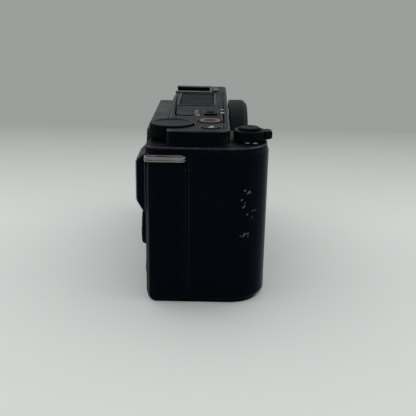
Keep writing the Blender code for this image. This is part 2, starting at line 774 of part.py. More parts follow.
def make_dial_and_shutter():
    stem_end = SHOULDER - ROOF - 1.0
    profile = [
        (0, DIAL_TOP),
        (DIAL_R - 0.6, DIAL_TOP),
        (DIAL_R, DIAL_TOP - 0.6),
        (DIAL_R, SHOULDER),
        (SHAFT_R, SHOULDER),
        (SHAFT_R, stem_end),
        (0, stem_end),
    ]
    dial = turned("control_dial", profile, (DIAL_X, DIAL_Y, 0), "Z", FINE)
    finish(dial, BLACK_SHELL, (DIAL_X, DIAL_Y, SHOULDER))
    button_r = LEVER_R - LEVER_T - GAP - 0.1
    button_low = SHOULDER + GAP + 1.1
    profile = [
        (0, SHUTTER_TOP),
        (button_r - 0.5, SHUTTER_TOP),
        (button_r, SHUTTER_TOP - 0.5),
        (button_r, button_low),
        (SHAFT_R, button_low),
        (SHAFT_R, stem_end),
        (0, stem_end),
    ]
    centre = (SHUTTER_X, SHUTTER_Y, 0)
    finish(turned("shutter_button", profile, centre), BLACK_SHELL, (SHUTTER_X, SHUTTER_Y, SHOULDER))
    low = SHOULDER + GAP
    bore = LEVER_R - LEVER_T
    profile = [(LEVER_R, LEVER_TOP), (LEVER_R, low), (bore, low), (bore, LEVER_TOP)]
    lever = turned("zoom_lever", profile, centre, "Z", FINE // 2)
    nub = rectangle(
        (SHUTTER_X - NUB_WIDTH / 2, NUB_FRONT), (SHUTTER_X + NUB_WIDTH / 2, SHUTTER_Y - bore - 0.4), 0.8
    )
    fuse(lever, slab("lever_nub", nub, low + 0.4, LEVER_TOP - 0.2))
    finish(lever, BLACK_SHELL, (SHUTTER_X, SHUTTER_Y, SHOULDER))


def make_power_switch():
    low_x, high_x = POWER_NEAR + GAP, POWER_NEAR + GAP + POWER_KNOB
    half = POWER_DEPTH / 2 - GAP
    under = BLOCK_CEILING - GAP
    knob = rectangle((low_x, POWER_Y - half), (high_x, POWER_Y + half), 1.0)
    switch = slab("power_switch", knob, under - 0.4, TOP + 0.7)
    plate_low = (low_x - 1.2, POWER_Y - half - 1.0, under - 0.8)
    fuse(switch, box("power_plate", plate_low, (high_x + 1.2, POWER_Y + half + 1.0, under)))
    finish(switch, BLACK_SHELL, ((low_x + high_x) / 2, POWER_Y, TOP))


def make_microphone_and_shoe():
    low = (GRILLE_NEAR + GAP, GRILLE_FRONT + GAP)
    high = (GRILLE_FAR - GAP, GRILLE_REAR - GAP)
    plate_low = TOP - 0.1 - GRILLE_T
    grille = slab("mic_grille", rectangle(low, high, 1.0 - GAP), plate_low, TOP - 0.1)
    finish(grille, GREY)
    board_top = BLOCK_CEILING - BUTTON_FLANGE_T - 1.4
    block_low = (GRILLE_NEAR + 2.5, GRILLE_FRONT + 2, board_top + GAP)
    block_high = (GRILLE_FAR - 2.5, GRILLE_REAR - 2, plate_low - GAP)
    finish(box("microphone_block", block_low, block_high), GREY)
    near, front = BLOCK_NEAR + ROOF + 1.6, BLOCK_FRONT + ROOF + 1.0
    step_x, step_y = DIAL_X + DIAL_R + 2.4, DIAL_Y - DIAL_R - DIAL_WALL - 1.2
    outline = [
        (near, front, 0),
        (GRILLE_FAR - 1.3, front, 0),
        (GRILLE_FAR - 1.3, GRILLE_REAR - 1.5, 0),
        (step_x, GRILLE_REAR - 1.5, 0),
        (step_x, step_y, 0),
        (near, step_y, 0),
    ]
    finish(slab("top_board", outline, board_top - BOARD_T, board_top), BOARD)
    half = SHOE_SLOT / 2 + SHOE_SIDE_T
    floor_low = (SHOE_X - half, SHOE_FRONT, SHOE_FLOOR - SHOE_FLOOR_T)
    finish(box("shoe_floor", floor_low, (SHOE_X + half, BLOCK_REAR_FAR - 1, SHOE_FLOOR)), STEEL)
    lip = SHOE_FLOOR + SHOE_SLOT_H
    rails_low = (SHOE_X - half, SHOE_FRONT, SHOE_FLOOR + GAP)
    rails = box("shoe_rails", rails_low, (SHOE_X + half, BLOCK_REAR_FAR - 0.2, lip + SHOE_LIP_T))
    stop = SHOE_FRONT + 1.2
    slot_low = (SHOE_X - SHOE_SLOT / 2, stop, SHOE_FLOOR - 5)
    cut(rails, box("shoe_slot", slot_low, (SHOE_X + SHOE_SLOT / 2, REAR, lip)))
    gap_low = (SHOE_X - SHOE_LIP_GAP / 2, stop, SHOE_FLOOR - 5)
    cut(rails, box("shoe_gap", gap_low, (SHOE_X + SHOE_LIP_GAP / 2, REAR, TOP + 5)))
    finish(rails, STEEL)


def make_rear_controls():
    sink, proud = REAR - WHEEL_SINK, REAR + WHEEL_PROUD
    wheel_at = (WHEEL_X, 0, WHEEL_Z)
    profile = [(WHEEL_R, -sink), (WHEEL_R, -proud), (WHEEL_BORE_R, -proud), (WHEEL_BORE_R, -sink)]
    wheel = turned("control_wheel", profile, wheel_at, "Y", FINE)
    finish(wheel, BLACK_SHELL, (WHEEL_X, REAR, WHEEL_Z))
    flange_front, flange_rear = INNER_REAR - GAP - 0.8, INNER_REAR - GAP
    head = sink + 0.6
    profile = [
        (0, -flange_front),
        (CENTRE_STEM_R + 1.0, -flange_front),
        (CENTRE_STEM_R + 1.0, -flange_rear),
        (CENTRE_STEM_R, -flange_rear),
        (CENTRE_STEM_R, -head),
        (CENTRE_R, -head),
        (CENTRE_R, -REAR - REAR_BUTTON_PROUD),
        (0, -REAR - REAR_BUTTON_PROUD),
    ]
    centre = turned("centre_button", profile, wheel_at, "Y")
    finish(centre, BLACK_SHELL, (WHEEL_X, REAR, WHEEL_Z))
    for name, (x, z) in REAR_BUTTONS.items():
        profile = [
            (0, -flange_front),
            (REAR_BUTTON_R + 0.8, -flange_front),
            (REAR_BUTTON_R + 0.8, -flange_rear),
            (REAR_BUTTON_R, -flange_rear),
            (REAR_BUTTON_R, -REAR - REAR_BUTTON_PROUD),
            (0, -REAR - REAR_BUTTON_PROUD),
        ]
        button = turned(name, profile, (x, 0, z), "Y", 20)
        finish(button, BLACK_SHELL, (x, REAR, z))


def make_monitor():
    front = RECESS_FLOOR + GAP
    rear = front + MONITOR_T
    low, high = (MONITOR_NEAR, MONITOR_LOW), (MONITOR_FAR, MONITOR_HIGH)
    axis = (HINGE_X, HINGE_Y, 0)
    frame = slab("monitor_frame", rectangle(low, high, MONITOR_R), front, rear, "Y")
    glass_rear = rear - 0.2
    panel_rear = glass_rear - GLASS_T - GAP
    pocket = panel_rear - PANEL_T - GAP

    def window(name, margin, near_y, far_y):
        inset = BEZEL + margin
        corner = (MONITOR_NEAR + inset, MONITOR_LOW + inset)
        other = (MONITOR_FAR - inset, MONITOR_HIGH - inset)
        return slab(name, rectangle(corner, other, MONITOR_R - BEZEL), near_y, far_y, "Y")

    cut(frame, window("monitor_pocket", 0, pocket, rear + 5))
    finish(frame, BLACK_SHELL, axis)
    finish(window("monitor_panel", GAP, panel_rear - PANEL_T, panel_rear), GLASS, axis)
    finish(window("monitor_glass", GAP, glass_rear - GLASS_T, glass_rear), GLASS, axis)
    barrel_low, barrel_high = EAR_LOW + EAR_H + GAP, EAR_HIGH - GAP
    bracket = rod("screen_hinge", HINGE_R, barrel_low, barrel_high, axis[:2])
    tongue_low = (MONITOR_FAR + GAP, HINGE_Y - HINGE_R / 2, barrel_low)
    fuse(bracket, box("hinge_tongue", tongue_low, (HINGE_X, HINGE_Y + HINGE_R / 2, barrel_high)))
    bore = rod("barrel_bore", HINGE_PIN_R + GAP, EAR_LOW, EAR_HIGH + EAR_H, axis[:2])
    finish(cut(bracket, bore), DARK_METAL, axis)
    pin = rod("screen_hinge_pin", HINGE_PIN_R, EAR_LOW, EAR_HIGH + EAR_H, axis[:2], "Z", 16)
    finish(pin, STEEL)


def make_battery_bay():
    low = (BATTERY_NEAR, BATTERY_FRONT)
    high = (BATTERY_NEAR + BATTERY_T, BATTERY_REAR)
    floor = BASE_T + GAP
    battery = slab("battery", rectangle(low, high, BATTERY_R), floor, BATTERY_TOP)
    finish(battery, GREY)

    def around(name, margin, bottom, top):
        corner = (low[0] - margin, low[1] - margin)
        other = (high[0] + margin, high[1] + margin)
        return slab(name, rectangle(corner, other, BATTERY_R + margin), bottom, top)

    case = around("battery_case", GAP + CASE_T, floor, BATTERY_TOP + GAP + CASE_T)
    cut(case, around("case_inside", GAP, floor - 5, BATTERY_TOP + GAP))
    finish(case, GREY)
    card_low = (CARD_FAR - CARD_WIDTH, CARD_Y - CARD_T / 2, floor)
    card_high = (CARD_FAR, CARD_Y + CARD_T / 2, floor + CARD_HEIGHT)
    finish(box("memory_card", card_low, card_high), GREY)
    wall = GAP + 0.6
    slot_low = (card_low[0] - wall, card_low[1] - wall, floor)
    slot_high = (card_high[0] + wall, card_high[1] + wall, card_high[2] + wall)
    slot = box("card_slot", slot_low, slot_high)
    room_low = (card_low[0] - GAP, card_low[1] - GAP, floor - 5)
    room_high = (card_high[0] + GAP, card_high[1] + GAP, card_high[2] + GAP)
    finish(cut(slot, box("card_room", room_low, room_high)), DARK_METAL)


def make_battery_door():
    door = slab("battery_door", door_outline(0), DOOR_LIFT, BASE_T)
    half_x, half_y = LATCH_LENGTH / 2, LATCH_WIDTH / 2
    middle = (DOOR_FRONT + DOOR_REAR) / 2
    pocket_top = DOOR_LIFT + GAP + LATCH_T
    pocket_low = (LATCH_X - half_x - GAP, middle - half_y - GAP, -1)
    pocket_high = (LATCH_X + half_x + LATCH_TRAVEL + GAP, middle + half_y + GAP, pocket_top)
    cut(door, box("latch_pocket", pocket_low, pocket_high))
    finish(door, BLACK_SHELL, (DOOR_FAR, 0, DOOR_LIFT))
    latch_low = (LATCH_X - half_x, middle - half_y, DOOR_LIFT)
    latch = box("door_latch", latch_low, (LATCH_X + half_x, middle + half_y, DOOR_LIFT + LATCH_T))
    finish(latch, GREY, (LATCH_X, middle, DOOR_LIFT))


def make_tripod_socket():
    profile = [
        (0, SOCKET_H + 1.0),
        (SOCKET_R, SOCKET_H + 1.0),
        (SOCKET_R, 0.1),
        (SOCKET_BORE_R, 0.1),
        (SOCKET_BORE_R, SOCKET_H),
        (0, SOCKET_H),
    ]
    finish(turned("tripod_socket", profile, (LENS_X, SOCKET_Y, 0), "Z", FINE // 2), STEEL)


def make_jacks():
    board_rear = SEAM - GAP - GAP
    board_front = board_rear - JACK_BOARD_T
    end = HALF - WALL - GAP
    low_z, high_z = PORT_DOOR[0] - 1, MIC_DOOR[1] + 1
    finish(box("jack_board", (end - 14.7, board_front, low_z), (end, board_rear, high_z)), BOARD)
    front, rear = JACK_DOOR_FRONT + 1.6, board_front - GAP
    middle = (front + rear) / 2
    round_jacks = {"mic_jack": 40.0, "headphone_jack": 26.0}
    flat_sockets = {"charging_socket": (18.5, 2.6), "video_socket": (10.5, 2.4)}
    for name, height in round_jacks.items():
        jack = box(name, (end - 10, front, height - 3), (end, rear, height + 3))
        cut(jack, rod(name + "_bore", 1.8, end - 9, end + 5, (middle, height), "X", 16))
        finish(jack, GREY)
    for name, (height, mouth) in flat_sockets.items():
        socket = box(name, (end - 8, front, height - 2.6), (end, rear, height + 2.6))
        mouth_low = (end - 7, front + 0.8, height - mouth / 2)
        finish(cut(socket, box(name + "_mouth", mouth_low, (end + 5, rear - 0.8, height + mouth / 2))), STEEL)
    for name, (low, high) in (("mic_door", MIC_DOOR), ("port_door", PORT_DOOR)):
        outline = rectangle((JACK_DOOR_FRONT, low), (JACK_DOOR_REAR, high), 0.8)
        door = slab(name, outline, HALF - JACK_DOOR_T, HALF, "X")
        finish(door, BLACK_RUBBER, (HALF, JACK_DOOR_REAR, low))


def build():
    make_front_cover()
    make_grip_skin()
    make_rear_cover()
    make_top_cover()
    make_base_plate()
    make_thumb_rest()
    make_strap_lug("strap_lug_near", -1, LUG_NEAR_Y)
    make_strap_lug("strap_lug_far", 1, LUG_FAR_Y)
    make_mount()
    make_body_cap()
    make_imaging_unit()
    make_release_button()
    make_top_buttons()
    make_dial_and_shutter()
    make_power_switch()
    make_microphone_and_shoe()
    make_rear_controls()
    make_monitor()
    make_battery_bay()
    make_battery_door()
    make_tripod_socket()
    make_jacks()
    frame = bpy.data.objects.new("camera_frame", None)
    PARTS.objects.link(frame)
    for part in PARTS.objects:
        if part is not frame:
            part.parent = frame


build()
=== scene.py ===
"""Looks of the compact camera: finishes, fine surfaces and a plain studio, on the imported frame.

Sizes are in millimetres and MM turns them into metres. The lens side is -Y, the screen side
is +Y, and the grip end that the photograph shows is -X.
"""

import json
import math
from collections import namedtuple

import bmesh
import bpy
from mathutils import Matrix, Vector


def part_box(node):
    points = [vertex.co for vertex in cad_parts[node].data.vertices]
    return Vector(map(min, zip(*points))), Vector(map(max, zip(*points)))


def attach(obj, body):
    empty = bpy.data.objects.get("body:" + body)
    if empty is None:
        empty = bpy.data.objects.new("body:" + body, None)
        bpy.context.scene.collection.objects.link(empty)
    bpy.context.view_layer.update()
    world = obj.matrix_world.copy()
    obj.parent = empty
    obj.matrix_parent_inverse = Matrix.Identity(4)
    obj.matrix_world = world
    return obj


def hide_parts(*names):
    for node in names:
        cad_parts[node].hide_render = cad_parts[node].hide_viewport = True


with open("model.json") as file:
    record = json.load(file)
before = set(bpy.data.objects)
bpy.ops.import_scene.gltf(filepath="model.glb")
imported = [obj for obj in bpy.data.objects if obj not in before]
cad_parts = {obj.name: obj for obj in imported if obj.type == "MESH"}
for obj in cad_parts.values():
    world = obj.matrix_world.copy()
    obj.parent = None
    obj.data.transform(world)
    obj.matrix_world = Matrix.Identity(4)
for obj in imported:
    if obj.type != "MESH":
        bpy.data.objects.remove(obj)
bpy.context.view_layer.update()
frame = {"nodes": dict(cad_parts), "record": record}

MM = 0.001
BODY_OF = {
    node: body
    for body, nodes in frame["record"]["behaviour"]["bodies"].items()
    for node in nodes
}

# Outward direction of a surface: its right, its up and its outside, seen from outside
FACING = {
    "up": ((1, 0, 0), (0, 1, 0), (0, 0, 1)),
    "read_up": ((-1, 0, 0), (0, -1, 0), (0, 0, 1)),
    "down": ((1, 0, 0), (0, -1, 0), (0, 0, -1)),
    "front": ((1, 0, 0), (0, 0, 1), (0, -1, 0)),
    "rear": ((-1, 0, 0), (0, 0, 1), (0, 1, 0)),
    "near": ((0, -1, 0), (0, 0, 1), (-1, 0, 0)),
    "far": ((0, 1, 0), (0, 0, 1), (1, 0, 0)),
}

# Vertices nearer than this are one, and the angles in degrees at which faces count as flat or sharp
WELD = 0.001
FLAT_ANGLE = 1.0
SHARP_ANGLE = 28.0
SMOOTH_ANGLE = 35.0
SOFT_SMOOTH_ANGLE = 40.0

EDGE_LAYER = "rounded_edge"
WEAR_LAYER = "wear"
# Carries the rubber's painted groove shade and painted stud highlight
STUD_SHADE_LAYER = "stud"

Box = namedtuple("Box", "low high middle size")


def box_mm(node):
    """Lowest corner, highest corner, middle and size of a node, in millimetres."""
    low, high = (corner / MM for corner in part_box(node))
    return Box(low, high, (low + high) / 2, high - low)


def face_of(node, facing, lift=0.0):
    """Middle of a node's box on one side, moved out by lift."""
    box, out = box_mm(node), Vector(FACING[facing][2])
    return box.middle + out * (abs(out.dot(box.size)) / 2 + lift)


def turn_to(facing):
    """Turn of local right, up and outward to those of a surface."""
    return Matrix(FACING[facing]).transposed().to_4x4()


def placed(facing, origin):
    """Local millimetres on a surface to world metres."""
    return Matrix.Translation(Vector(origin) * MM) @ turn_to(facing) @ Matrix.Scale(MM, 4)


def mesh_from(work, name, place, smooth=SMOOTH_ANGLE):
    """The finished mesh in its place, shaded smooth except where faces meet more sharply than that."""
    work.transform(place)
    bmesh.ops.recalc_face_normals(work, faces=work.faces)
    mesh = bpy.data.meshes.new(name)
    work.to_mesh(mesh)
    work.free()
    mesh.shade_smooth()
    mesh.set_sharp_from_angle(angle=math.radians(smooth))
    return mesh


def in_scene(name, data):
    """A new object of the scene."""
    made = bpy.data.objects.new(name, data)
    bpy.context.scene.collection.objects.link(made)
    return made


def add(name, mesh, finish, on, *replaced):
    """A piece in a named finish, carried by the body of the node on, standing for the replaced nodes."""
    piece = in_scene(name, mesh)
    material, slot = FINISHES[finish]
    mesh.materials.append(material)
    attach(piece, BODY_OF[on])
    if replaced:
        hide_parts(*replaced)
    even = piece.modifiers.new("even_shading", "WEIGHTED_NORMAL")
    even.keep_sharp = True


def add_work(name, work, facing, origin, finish, on, *replaced):
    """A piece of a shape that was worked in local millimetres on a surface."""
    add(name, mesh_from(work, name, placed(facing, origin)), finish, on, *replaced)


def rounded(corners, closed=True, steps=6):
    """Points along an outline whose corners are (u, v, radius)."""
    points = []
    last = len(corners) - 1
    for i, (u, v, radius) in enumerate(corners):
        here = Vector((u, v))
        if radius <= 0 or (not closed and i in (0, last)):
            points.append(here)
            continue
        before = (Vector(corners[i - 1][:2]) - here).normalized()
        after = (Vector(corners[(i + 1) % len(corners)][:2]) - here).normalized()
        half = before.angle(after) / 2
        centre = here + (before + after).normalized() * radius / math.sin(half)
        start = here + before * radius / math.tan(half) - centre
        turn = math.copysign(math.pi - 2 * half, -before.cross(after))
        for step in range(steps + 1):
            points.append(centre + Matrix.Rotation(turn * step / steps, 2) @ start)
    return points


def rectangle(width, height, radius, at=(0, 0), steps=6):
    """Points round an upright rectangle with round corners."""
    u, v = at
    left, right, low, high = u - width / 2, u + width / 2, v - height / 2, v + height / 2
    corners = [(left, low), (right, low), (right, high), (left, high)]
    return rounded([(*corner, radius) for corner in corners], steps=steps)


def circle(radius, at=(0, 0), sides=32):
    turns = [math.tau * i / sides for i in range(sides)]
    return [Vector((at[0] + radius * math.cos(t), at[1] + radius * math.sin(t))) for t in turns]


def spaced(count, gap):
    """Places of so many things side by side, about zero."""
    return [(i - (count - 1) / 2) * gap for i in range(count)]


def triangle(size):
    """An arrow head that points to the right."""
    back, tip, half = -0.5 * size, 0.6 * size, 0.6 * size
    return [Vector((back, -half)), Vector((tip, 0)), Vector((back, half))]


def bridge(work, rings, closed=True):
    """Faces between neighbouring rings of as many vertices each."""
    for first, second in zip(rings, rings[1:]):
        count = len(first)
        for i in range(count if closed else count - 1):
            j = (i + 1) % count
            corners = list(dict.fromkeys([first[i], first[j], second[j], second[i]]))
            if len(corners) > 2:
                work.faces.new(corners)


def bevel(work, edges, offset, segments, clamp=False):
    return bmesh.ops.bevel(
        work, geom=edges, offset=offset, offset_type="OFFSET", segments=segments,
        profile=0.5, affect="EDGES", clamp_overlap=clamp,
    )


def turn_into(work, profile, sides, ripple=None):
    """Turns a profile of (radius, height) points round local Z. ripple(turn, r, h) gives the radius."""
    rings = []
    for radius, height in profile:
        if radius < WELD:
            rings.append([work.verts.new((0, 0, height))] * sides)
            continue
        ring = []
        for i in range(sides):
            turn = math.tau * i / sides
            r = ripple(turn, radius, height) if ripple else radius
            ring.append(work.verts.new((r * math.cos(turn), r * math.sin(turn), height)))
        rings.append(ring)
    bridge(work, rings)
    bmesh.ops.remove_doubles(work, verts=work.verts, dist=WELD)


def ring_into(work, corners, steps, sides, ripple=None):
    """Turns a closed outline of (radius, height, rounding) corners round local Z."""
    profile = rounded(corners, steps=steps)
    turn_into(work, [*profile, profile[0]], sides, ripple)


def frame_into(work, section, width, height, radius, at=(0, 0), steps=4):
    """Carries a closed section of (distance outside, height) points round a rectangle."""
    rings = []
    for out, level in section:
        outline = rectangle(width + 2 * out, height + 2 * out, radius + out, at, steps)
        rings.append([work.verts.new((p.x, p.y, level)) for p in outline])
    bridge(work, [*rings, rings[0]])


def push_into(work, outline, low, high, edge=0.0, both=False):
    """Pushes an outline from low to high along local Z, with its upper rim rounded by edge."""
    floor = [work.verts.new((p.x, p.y, low)) for p in outline]
    roof = [work.verts.new((p.x, p.y, high)) for p in outline]
    bridge(work, [floor, roof])
    caps = [work.faces.new(floor[::-1]), work.faces.new(roof)]
    if edge > 0:
        rims = list(caps[1].edges) + (list(caps[0].edges) if both else [])
        bevel(work, rims, edge, 3, clamp=True)


def softened(node, edge, segments):
    """A copy of a node's mesh with flat faces joined and sharp edges rounded and marked."""
    work = bmesh.new()
    work.from_mesh(frame["nodes"][node].data)
    edge_layer = work.faces.layers.float.new(EDGE_LAYER)
    bmesh.ops.remove_doubles(work, verts=work.verts, dist=WELD * MM)
    flat = math.radians(FLAT_ANGLE)
    bmesh.ops.dissolve_limit(work, angle_limit=flat, verts=work.verts, edges=work.edges)
    large = [face for face in work.faces if len(face.verts) > 4]
    bmesh.ops.triangulate(work, faces=large, ngon_method="EAR_CLIP")
    sharp = [
        e for e in work.edges
        if e.is_manifold and e.is_convex and e.calc_face_angle() > math.radians(SHARP_ANGLE)
    ]
    # The rounded edge faces are marked; materials paint them lighter, partly as wear and partly as a
    # painted highlight.
    for face in bevel(work, sharp, edge * MM, segments)["faces"]:
        face[edge_layer] = 1.0
    return mesh_from(work, node + "_soft", Matrix(), SOFT_SMOOTH_ANGLE)


def add_softened(name, node, edge, segments, finish):
    """A piece that is a node's own solid with rounded edges."""
    add(name, softened(node, edge, segments), finish, node, node)


def add_turned(name, corners, facing, origin, finish, on, *replaced, sides=96, ripple=None):
    """A turned piece whose profile corners are (radius, height, rounding), from axis to axis."""
    work = bmesh.new()
    turn_into(work, rounded(corners, closed=False, steps=4), sides, ripple)
    add_work(name, work, facing, origin, finish, on, *replaced)


def add_pushed(name, outlines, low, high, facing, origin, finish, on, *replaced, edge=0.15, both=False):
    """A piece of several outlines, each pushed from low to high out of a surface."""
    work = bmesh.new()
    for outline in outlines:
        push_into(work, outline, low, high, edge, both)
    add_work(name, work, facing, origin, finish, on, *replaced)


RIB_SINK = 0.3


def add_ribs(name, node, facing, rib, places, proud, finish, edge=0.15):
    """Finger ribs of (width, length, rounding) side by side on a node's face."""
    ribs = [rectangle(*rib, (place, 0)) for place in places]
    add_pushed(name, ribs, -RIB_SINK, proud, facing, face_of(node, facing), finish, node, edge=edge)


class Tree:
    """Builds a node tree with short calls."""

    def __init__(self, tree):
        self.tree = tree

    def node(self, kind, **settings):
        made = self.tree.nodes.new(kind)
        for key, value in settings.items():
            setattr(made, key, value)
        return made

    def feed(self, target, value):
        """Joins an input to another node's output, or sets it to a plain value."""
        if isinstance(value, bpy.types.NodeSocket):
            self.tree.links.new(value, target)
        else:
            target.default_value = value

    def part(self, place, axis):
        """One coordinate of a place."""
        split = self.node("ShaderNodeSeparateXYZ")
        self.feed(split.inputs["Vector"], place)
        return split.outputs[axis]

    def spread(self, source, low, high, start=0.3, end=0.7):
        """A value carried from the range start to end into low to high."""
        mapped = self.node("ShaderNodeMapRange")
        keys = ("Value", "From Min", "From Max", "To Min", "To Max")
        for key, value in zip(keys, (source, start, end, low, high)):
            self.feed(mapped.inputs[key], value)
        return mapped.outputs["Result"]

    def sums(self, operation, *terms):
        """The result of one sum, whose terms are sockets or plain numbers."""
        made = self.node("ShaderNodeMath", operation=operation)
        for target, term in zip(made.inputs, terms):
            self.feed(target, term)
        return made.outputs["Value"]

    def blend(self, amount, first, second):
        """A colour between two, each a socket or a plain colour."""
        mixer = self.node("ShaderNodeMix", data_type="RGBA")
        self.feed(mixer.inputs["Factor"], amount)
        for target, colour in ((mixer.inputs[6], first), (mixer.inputs[7], second)):
            self.feed(target, (*colour, 1.0) if isinstance(colour, tuple) else colour)
        return mixer.outputs[2]


class Nodes(Tree):
    """Builds one material's node tree."""

    def __init__(self, name):
        self.material = bpy.data.materials.new(name)
        self.material.use_nodes = True
        super().__init__(self.material.node_tree)
        self.shader = self.tree.nodes["Principled BSDF"]
        self.place = self.node("ShaderNodeTexCoord").outputs["Object"]

    def noise(self, grain, detail=3.0, stretch=None):
        """Noise whose features are about grain millimetres wide."""
        place = self.place
        if stretch:
            mapping = self.node("ShaderNodeMapping")
            self.feed(mapping.inputs["Scale"], stretch)
            self.feed(mapping.inputs["Vector"], place)
            place = mapping.outputs["Vector"]
        texture = self.node("ShaderNodeTexNoise")
        self.feed(texture.inputs["Vector"], place)
        self.feed(texture.inputs["Scale"], 1 / (grain * MM))
        self.feed(texture.inputs["Detail"], detail)
        return texture.outputs["Fac"]

    def cells(self, width, **settings):
        """Distances in a pattern of cells about width millimetres wide."""
        texture = self.node("ShaderNodeTexVoronoi", **settings)
        self.feed(texture.inputs["Vector"], self.place)
        self.feed(texture.inputs["Scale"], 1 / (width * MM))
        return texture.outputs["Distance"]

    def layer(self, name):
        """A value that the mesh carries."""
        return self.node("ShaderNodeAttribute", attribute_name=name).outputs["Fac"]

    def clouded(self, cloud, colour, dark, light):
        """A colour between two shades of itself, as a noise says."""
        return self.blend(self.spread(cloud, 0.0, 1.0), tint(colour, dark), tint(colour, light))

    def relief(self, height, depth):
        """Fine surface relief of about depth millimetres."""
        bump = self.node("ShaderNodeBump")
        self.feed(bump.inputs["Distance"], depth * MM)
        self.feed(bump.inputs["Height"], height)
        self.fill(Normal=bump.outputs["Normal"])

    def fill(self, **values):
        """Feeds the shader's inputs."""
        for key, value in values.items():
            self.feed(self.shader.inputs[key.replace("_", " ")], value)


def tint(colour, factor):
    return tuple(channel * factor for channel in colour)


def moulded(name, colour, roughness, grain=0.35, depth=0.03, edge_wear_and_highlight=1.6, dust=0.0, shine=0.035):
    """Moulded plastic or rubber: fine grain, uneven gloss, a little dust, and marked edges painted lighter
    and glossier, partly as wear and partly as a painted highlight.
    """
    nodes = Nodes(name)
    cloud = nodes.noise(14.0, detail=4.0)
    base = nodes.clouded(cloud, colour, 0.75, 1.3)
    patches = nodes.spread(nodes.noise(3.0), 0.25, 1.0)
    # Marked edges are painted lighter: partly wear, partly a painted highlight along the edges.
    worn_and_highlit_edges = nodes.sums("MULTIPLY", nodes.layer(EDGE_LAYER), patches)
    base = nodes.blend(worn_and_highlit_edges, base, tint(colour, edge_wear_and_highlight))
    gloss = nodes.spread(worn_and_highlit_edges, shine, shine + EDGE_SHINE, 0.0, 1.0)
    if dust:
        specks = nodes.spread(nodes.noise(0.9, detail=2.0), 0.0, dust, 0.7, 0.76)
        base = nodes.blend(specks, base, DUST_GREY)
    rough = nodes.spread(cloud, roughness - 0.06, roughness + 0.07)
    nodes.fill(Base_Color=base, Roughness=rough, Specular_IOR_Level=gloss, Specular_Tint=COOL_SHEEN)
    nodes.relief(nodes.noise(grain, detail=2.0), depth)
    return nodes.material


def metal(name, colour, roughness, stretch=None):
    """Metal with drawn lines along the least stretched direction, dulled in patches, with marked edges
    painted lighter as wear and as a painted highlight.
    """
    nodes = Nodes(name)
    lines = nodes.noise(0.5, detail=4.0, stretch=stretch)
    base = nodes.clouded(nodes.noise(5.0, detail=4.0), colour, 0.7, 1.1)
    # Marked edges are painted lighter: partly wear, partly a painted highlight.
    base = nodes.blend(nodes.layer(EDGE_LAYER), base, tint(colour, 1.25))
    rough = nodes.spread(lines, roughness - 0.1, roughness + 0.12)
    nodes.fill(Base_Color=base, Roughness=rough, Metallic=1.0)
    nodes.relief(lines, 0.008)
    return nodes.material


def glassy(name, colour, roughness, smear=0.12):
    """A dark glossy window with faint finger smears."""
    nodes = Nodes(name)
    smears = nodes.noise(9.0, detail=5.0, stretch=(1.0, 1.0, 2.4))
    rough = nodes.spread(smears, roughness, roughness + smear, 0.45, 0.75)
    nodes.fill(Base_Color=nodes.clouded(smears, colour, 0.8, 1.3), Roughness=rough)
    nodes.fill(IOR=1.5, Coat_Weight=0.4, Coat_Roughness=0.05)
    nodes.relief(nodes.noise(30.0, detail=1.0), 0.01)
    return nodes.material


def painted(name, colour, roughness=0.5):
    """Printed or filled-in marks, slightly worn."""
    nodes = Nodes(name)
    worn = nodes.spread(nodes.noise(0.35), 0.0, 1.0, 0.25, 0.5)
    rough = nodes.spread(nodes.noise(2.0), roughness - 0.08, roughness + 0.08)
    nodes.fill(Base_Color=nodes.blend(worn, tint(colour, 0.6), colour), Roughness=rough)
    nodes.relief(nodes.noise(0.2), 0.01)
    return nodes.material


def circuit(name):
    """A circuit board: solder-mask green with darker traces and pale pads."""
    nodes = Nodes(name)
    gaps = nodes.cells(2.2, feature="DISTANCE_TO_EDGE", distance="CHEBYCHEV")
    traces = nodes.spread(gaps, 1.0, 0.0, 0.03, 0.06)
    pads = nodes.spread(nodes.cells(3.1), 1.0, 0.0, 0.16, 0.2)
    base = nodes.blend(pads, nodes.blend(traces, BOARD_GREEN, TRACE_GREEN), PAD_GOLD)
    nodes.fill(Base_Color=base, Roughness=nodes.spread(nodes.noise(4.0), 0.35, 0.55))
    nodes.relief(traces, 0.03)
    return nodes.material


def worn_rubber_painted_shade(name, colour):
    """The grip's rubber skin, with the pale scuffs that its wear values place, painted shade in the
    grooves and a painted highlight on the stud tops.
    """
    nodes = Nodes(name)
    cloud = nodes.noise(11.0, detail=4.0)
    # The darker groove colour is painted shade and the lighter stud-top colour is a painted highlight,
    # chosen by the stud values.
    low = nodes.clouded(cloud, colour, 0.3, 0.6)
    high = nodes.clouded(cloud, colour, 1.2, 2.2)
    base = nodes.blend(nodes.layer(STUD_SHADE_LAYER), low, high)
    wear = nodes.spread(nodes.layer(WEAR_LAYER), 0.0, 1.0, 0.3, 0.9)
    nodes.fill(Base_Color=nodes.blend(wear, base, SCUFF_GREY), Roughness=nodes.spread(cloud, 0.5, 0.66))
    nodes.fill(Specular_IOR_Level=0.04, Specular_Tint=COOL_SHEEN)
    nodes.fill(Sheen_Weight=RUBBER_SHEEN, Sheen_Roughness=0.3, Sheen_Tint=COOL_SHEEN)
    nodes.relief(nodes.noise(0.25, detail=2.0), 0.02)
    return nodes.material


